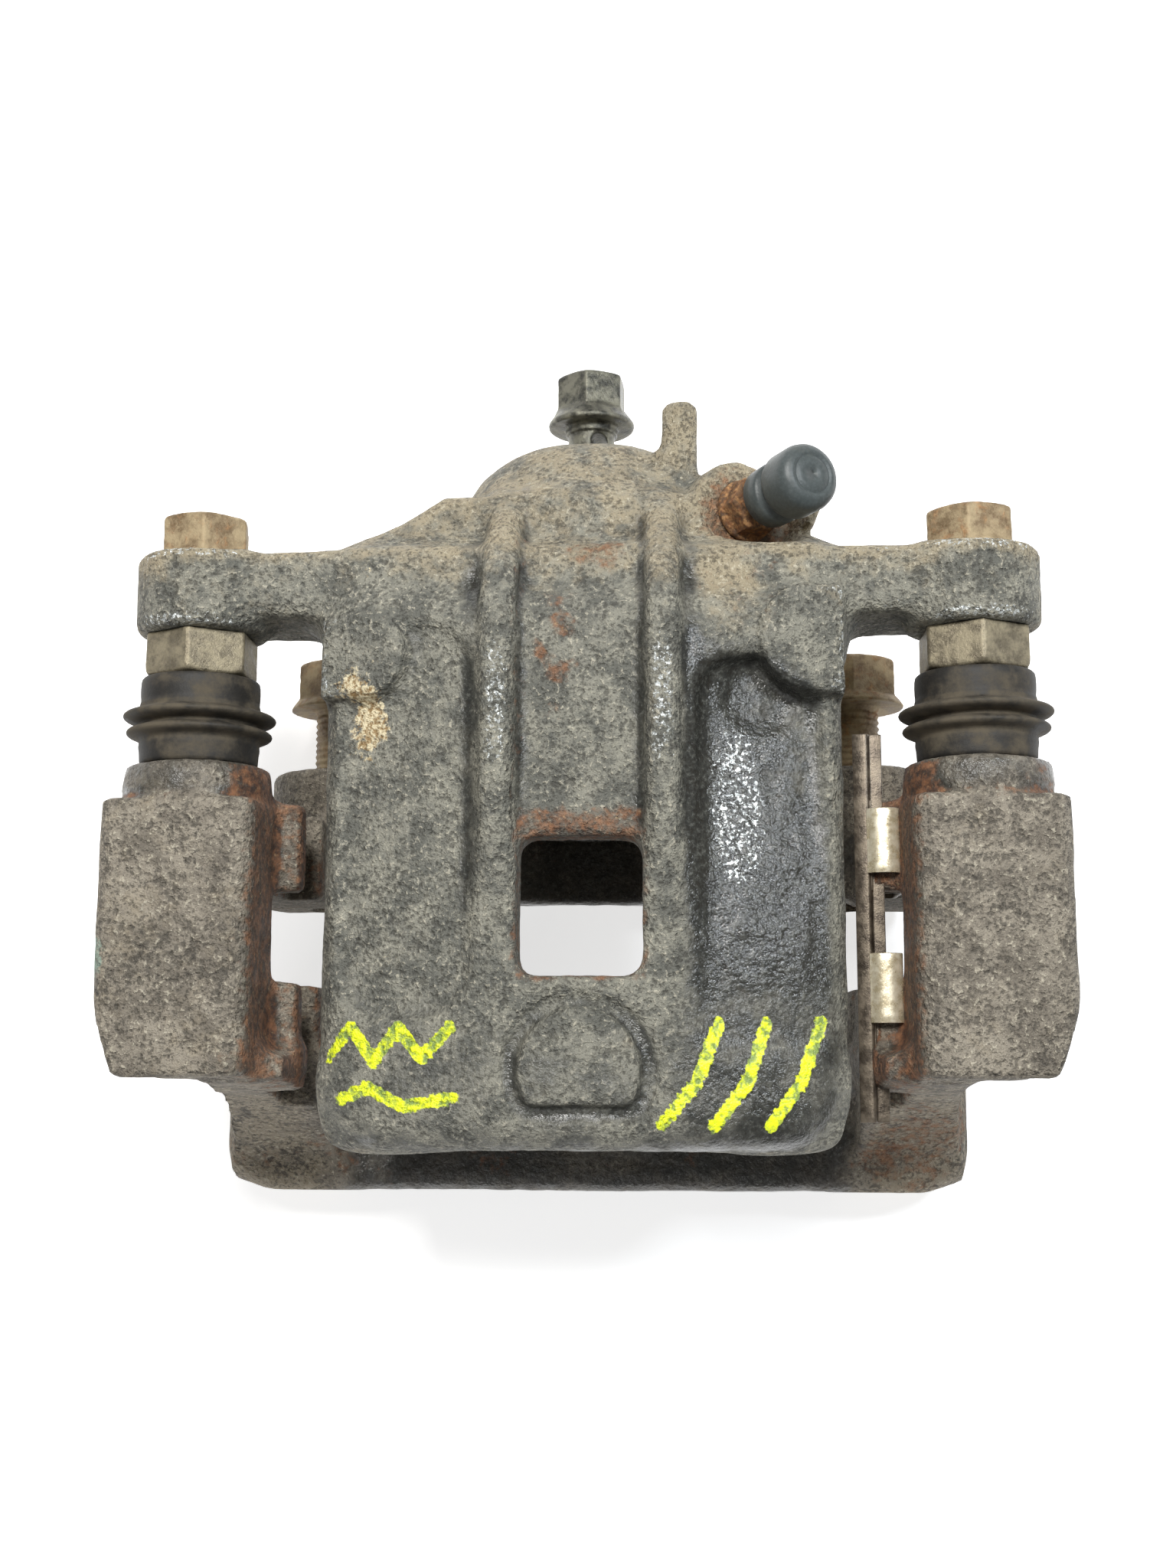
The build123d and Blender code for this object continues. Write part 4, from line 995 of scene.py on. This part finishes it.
# Hose bolt
c = clay_round("banjo_bolt", STEP)
ring = np.hypot(c.x, c.z - bore_z)
c.add(prism(ring - (8.2 - 0.75 * np.clip(c.yy - 99.2, 0, 3)), c.yy, 98.3, 101.3, 0.5))
c.add(hex_head(c, (0, bore_z), 99.6, 108.2, 12.0, 0.9, turn=0.1), 1.2)
threaded = (c.yy < 91.7) | (c.yy > 99)
c.add(prism(ring - 4.97 + thread(c.yy, 0.4, 1.0) * threaded, c.yy, 81.4, 98.6, 0.5), 0.4)
c.add(prism(ring - 6.3, c.yy, 91.75, 92.6, 0.3))
c.cut(prism(ring - 2.0, c.yy, 70.0, 96.0))
c.cut(prism(circle(c.x, c.yy, 1.6, 94.9, 1.5), c.z, bore_z - 8, bore_z + 8), 0.3)
c.cut(prism(-(ring - 4.4), c.yy, 93.0, 96.8), 0.5)
cast("hose_bolt", c, "caliper", oily_bolt, None, metal_rough(0.05, 101), ("banjo_bolt",))

# Bleeder and its cap
c = clay_round("bleeder_screw", STEP)


def beside(amount):
    return bleeder_seat + bleeder_axis * amount


c.add(c.bar(beside(-13), beside(1), 3.9, 0.4))
c.add(c.bar(beside(0.1), beside(1.2), 5.6, 0.3), 0.4)
c.add(c.bar(beside(0.4), beside(5.0), 0, 0.4, flats=9.0), 0.3)
c.add(c.bar(beside(4), beside(16.5), 2.75, 0.6), 0.8)
c.add(c.bar(beside(13.2), beside(16.4), 3.15, 0.9), 0.8)
skin = metal_rough(0.09, 111)
cast("bleeder_nipple", c, "bleeder", rusted_screw, None, skin, ("bleeder_screw",))
cap_low = min((corners("bleeder_cap")[0] - bleeder_seat)[2] / bleeder_axis[2] + 3.35, 7.7)
# The cap's outside from its mouth over the collar, groove and bulb to the mark on top, then its inside
profile = [(0, 3.3), (0, 4.8), (0.3, 5.2), (3.4, 5.3), (3.9, 5.0), (4.2, 4.2), (5.3, 4.1)]
profile += [(5.7, 4.5), (6.3, 5.5), (7.0, 5.76), (11.2, 5.78), (12.3, 5.5), (13.1, 4.9), (13.45, 4.1)]
profile += [(13.5, 3.6), (13.3, 3.4), (13.3, 3.2), (13.5, 3.0), (13.5, 0.02), (11.8, 0.02), (11.8, 3.25)]
profile = [(cap_low + along, radius) for along, radius in profile]
cap = lathe(
    "dust_cap", profile, bleeder_seat, bleeder_axis,
    "bleeder_cap", cap_rubber, ("bleeder_cap",),
)
co = np.array([v.co for v in cap.data.vertices]) / MM
attribute(cap, "dust", np.clip(0.3 + 0.5 * noise(co, 3.0, 121, 2), 0, 1))

# Piston, its boot, seal and ring
kept_from_cad = {
    "piston": piston_steel,
    "piston_seal": seal_rubber,
    "pin_bush_right": seal_rubber,
    "boot_snap_ring": spring_dark,
}
for node, material in kept_from_cad.items():
    thing = frame["nodes"][node]
    thing.data.materials.clear()
    thing.data.materials.append(material)
rubber_low, rubber_high = corners("piston_dust_boot")
outer = (rubber_high[0] - rubber_low[0]) / 2
inner_y, outer_y = rubber_low[1], rubber_high[1]
profile = [(outer_y, outer), (outer_y - 1.2, outer), (outer_y - 1.4, outer - 1.0)]
profile += [(outer_y - 0.9, outer - 1.8), (outer_y - 1.0, 21.6), (outer_y - 1.6, 21.0)]
profile += [(inner_y + 0.6, 20.9), (inner_y + 0.1, 20.2)]
profile += [(inner_y, 19.4), (inner_y, 17.8), (inner_y + 1.6, 17.8), (inner_y + 1.6, 19.3)]
profile += [(inner_y + 1.4, 19.9), (outer_y - 1.2, 20.0), (outer_y - 0.3, 20.4), (outer_y, 21.4)]
skirt = lathe("piston_skirt", profile, (0, 0, bore_z), (0, 1, 0), None, seal_rubber)
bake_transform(skirt)
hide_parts("piston_dust_boot")


# ---- spring clip
def strip(name, path, along, thickness=0.55, material=spring_dark, bend=3):
    """A bent sheet: path is the section in X and Z, carried along Y, with rounded bends."""
    path = [np.array(p, float) for p in path]
    line = [path[0]]
    for before, here, after in zip(path, path[1:], path[2:]):
        a, b = before - here, after - here
        cut = min(1.1, np.linalg.norm(a) * 0.45, np.linalg.norm(b) * 0.45)
        a, b = here + a / np.linalg.norm(a) * cut, here + b / np.linalg.norm(b) * cut
        line += [a * (1 - t) ** 2 + here * 2 * t * (1 - t) + b * t * t for t in np.linspace(0, 1, bend + 2)]
    line.append(path[-1])
    line = np.array(line)
    slope = np.gradient(line, axis=0)
    slope /= np.linalg.norm(slope, axis=1, keepdims=True)
    out = np.stack([-slope[:, 1], slope[:, 0]], 1) * thickness / 2
    loop = np.concatenate([line + out, (line - out)[::-1]])
    stations = np.linspace(along[0], along[1], max(2, int(abs(along[1] - along[0]) / 1.2) + 1))
    points, faces = [], []
    count = len(loop)
    for t in stations:
        points += [(px, disc + t, pz) for px, pz in loop]
    for k in range(len(stations) - 1):
        a, b = k * count, (k + 1) * count
        faces += [(a + i, b + i, b + (i + 1) % count, a + (i + 1) % count) for i in range(count)]
    half = count // 2
    for base, flip in ((0, False), ((len(stations) - 1) * count, True)):
        for i in range(half - 1):
            face = (base + i, base + i + 1, base + count - 2 - i, base + count - 1 - i)
            faces.append(face[::-1] if flip else face)
    thing = mesh_object(name, points, faces, None, (), material, smooth=False)
    face_outward(thing.data)
    edge = thing.modifiers.new("edge", "BEVEL")
    edge.width = 0.12 * MM
    edge.segments = 2
    edge.limit_method = "ANGLE"
    edge.angle_limit = math.radians(50)
    thing.data.shade_smooth()
    return thing


def joined(name, things, body, replaces):
    bpy.ops.object.select_all(action="DESELECT")
    for t in things:
        bpy.context.view_layer.objects.active = t
        t.select_set(True)
        for m in list(t.modifiers):
            bpy.ops.object.modifier_apply(modifier=m.name)
        t.select_set(False)
    for t in things:
        t.select_set(True)
    bpy.context.view_layer.objects.active = things[0]
    bpy.ops.object.join()
    whole = bpy.context.view_layer.objects.active
    whole.name = name
    whole.select_set(False)
    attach(whole, body)
    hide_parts(*replaces)
    return whole


# Gold plating of the clip's folds, painted near white as a painted highlight on their bulging bends
gold_and_highlight = steel_material("spring_gold_and_highlight", srgb(244, 236, 212), srgb(206, 192, 158), 0.08, 0.3, 0.55, 1.8, 0.06)
wall = 48.55
groove_x = 54.55
groove_top = 51.55
groove_foot = 40.45
channel = [(wall, 57.2), (wall, groove_top), (groove_x, groove_top)]
channel += [(groove_x, groove_foot), (wall, groove_foot), (wall, 35.0)]
fold = [(wall - 0.6, 57.9), (wall + 0.7, 59.1), (51.6, 59.4), (53.15, 58.6), (53.2, 55.5)]
sheets = []
for leg_along, tab_along in (((-23.35, -7.65), (-14.6, -3.0)), ((7.65, 23.05), (10.5, 21.5))):
    sheets.append(strip("leg_channel", channel, leg_along))
    sheets.append(strip("fold", fold, tab_along, 0.5, gold_and_highlight))
sheets.append(strip("spine", [(45.9, 56.7), (48.3, 57.5), (48.5, 56.2), (50.8, 56.6)], (-31.0, 34.5), 0.5))
sheets.append(strip("foot", [(wall - 1.0, 57.4), (wall - 1.1, 50.4)], (-31.0, -25.0), 0.6))
joined("spring_clip_right", sheets, "carrier", ("pad_clip_right",))


# ---- floor, light and camera
def studio():
    scene = bpy.context.scene
    mesh = bpy.data.meshes.new("floor")
    size = 3.0
    square = [(-size, -size, 0), (size, -size, 0), (size, size, 0), (-size, size, 0)]
    mesh.from_pydata(square, [], [(0, 1, 2, 3)])
    floor = bpy.data.objects.new("floor", mesh)
    scene.collection.objects.link(floor)
    s = Shader("floor")
    s.surface.inputs["Emission Color"].default_value = (1, 1, 1, 1)
    mesh.materials.append(s.finish((0.9, 0.9, 0.9), 0.9, Emission_Strength=0.66))
    for name, place, aim, width, power, colour in (
        ("key", (-0.06, 0.26, 0.72), (0, 0, 0.03), 0.2, 5.2, (1.0, 0.985, 0.96)),
        ("glint", (0.31, 0.17, 0.58), (0.02, 0, 0.07), 0.1, 1.7, (0.88, 0.94, 1.0)),
        ("front", (-0.3, -0.6, 0.6), (0, 0, 0.03), 0.4, 0.7, (1.0, 1.0, 1.0)),
    ):
        light = bpy.data.lights.new(name, "AREA")
        light.size, light.energy, light.color = width, power, colour
        lamp = bpy.data.objects.new(name, light)
        lamp.location = place
        lamp.rotation_euler = (Vector(aim) - Vector(place)).to_track_quat("-Z", "Y").to_euler()
        scene.collection.objects.link(lamp)
    world = bpy.data.worlds.new("room")
    world.use_nodes = True
    world.node_tree.nodes["Background"].inputs[0].default_value = (1, 1, 1, 1)
    world.node_tree.nodes["Background"].inputs[1].default_value = 0.2
    scene.world = world
    scene.view_settings.view_transform = "Standard"


def camera():
    scene = bpy.context.scene
    lens = bpy.data.cameras.new("camera")
    # Sensor and focal length in mm
    lens.sensor_width = 36
    lens.lens = 39.15879
    pitch = math.radians(8.711)
    yaw = math.radians(2.616)
    roll = math.radians(-0.321)
    forward = (-math.sin(yaw), math.sin(pitch) * math.cos(yaw), -math.cos(pitch) * math.cos(yaw))
    forward = Vector(forward).normalized()
    right = forward.cross(Vector((0, math.cos(pitch), math.sin(pitch)))).normalized()
    up = right.cross(forward)
    rolled_right = right * math.cos(roll) + up * math.sin(roll)
    rolled_up = up * math.cos(roll) - right * math.sin(roll)
    turn = Matrix((rolled_right, rolled_up, -forward)).transposed()
    holder = bpy.data.objects.new("camera", lens)
    place = Vector((13.88 * MM, (disc - 18.30) * MM, 347.1 * MM))
    holder.matrix_world = Matrix.Translation(place) @ turn.to_4x4()
    scene.collection.objects.link(holder)
    scene.camera = holder


studio()
camera()
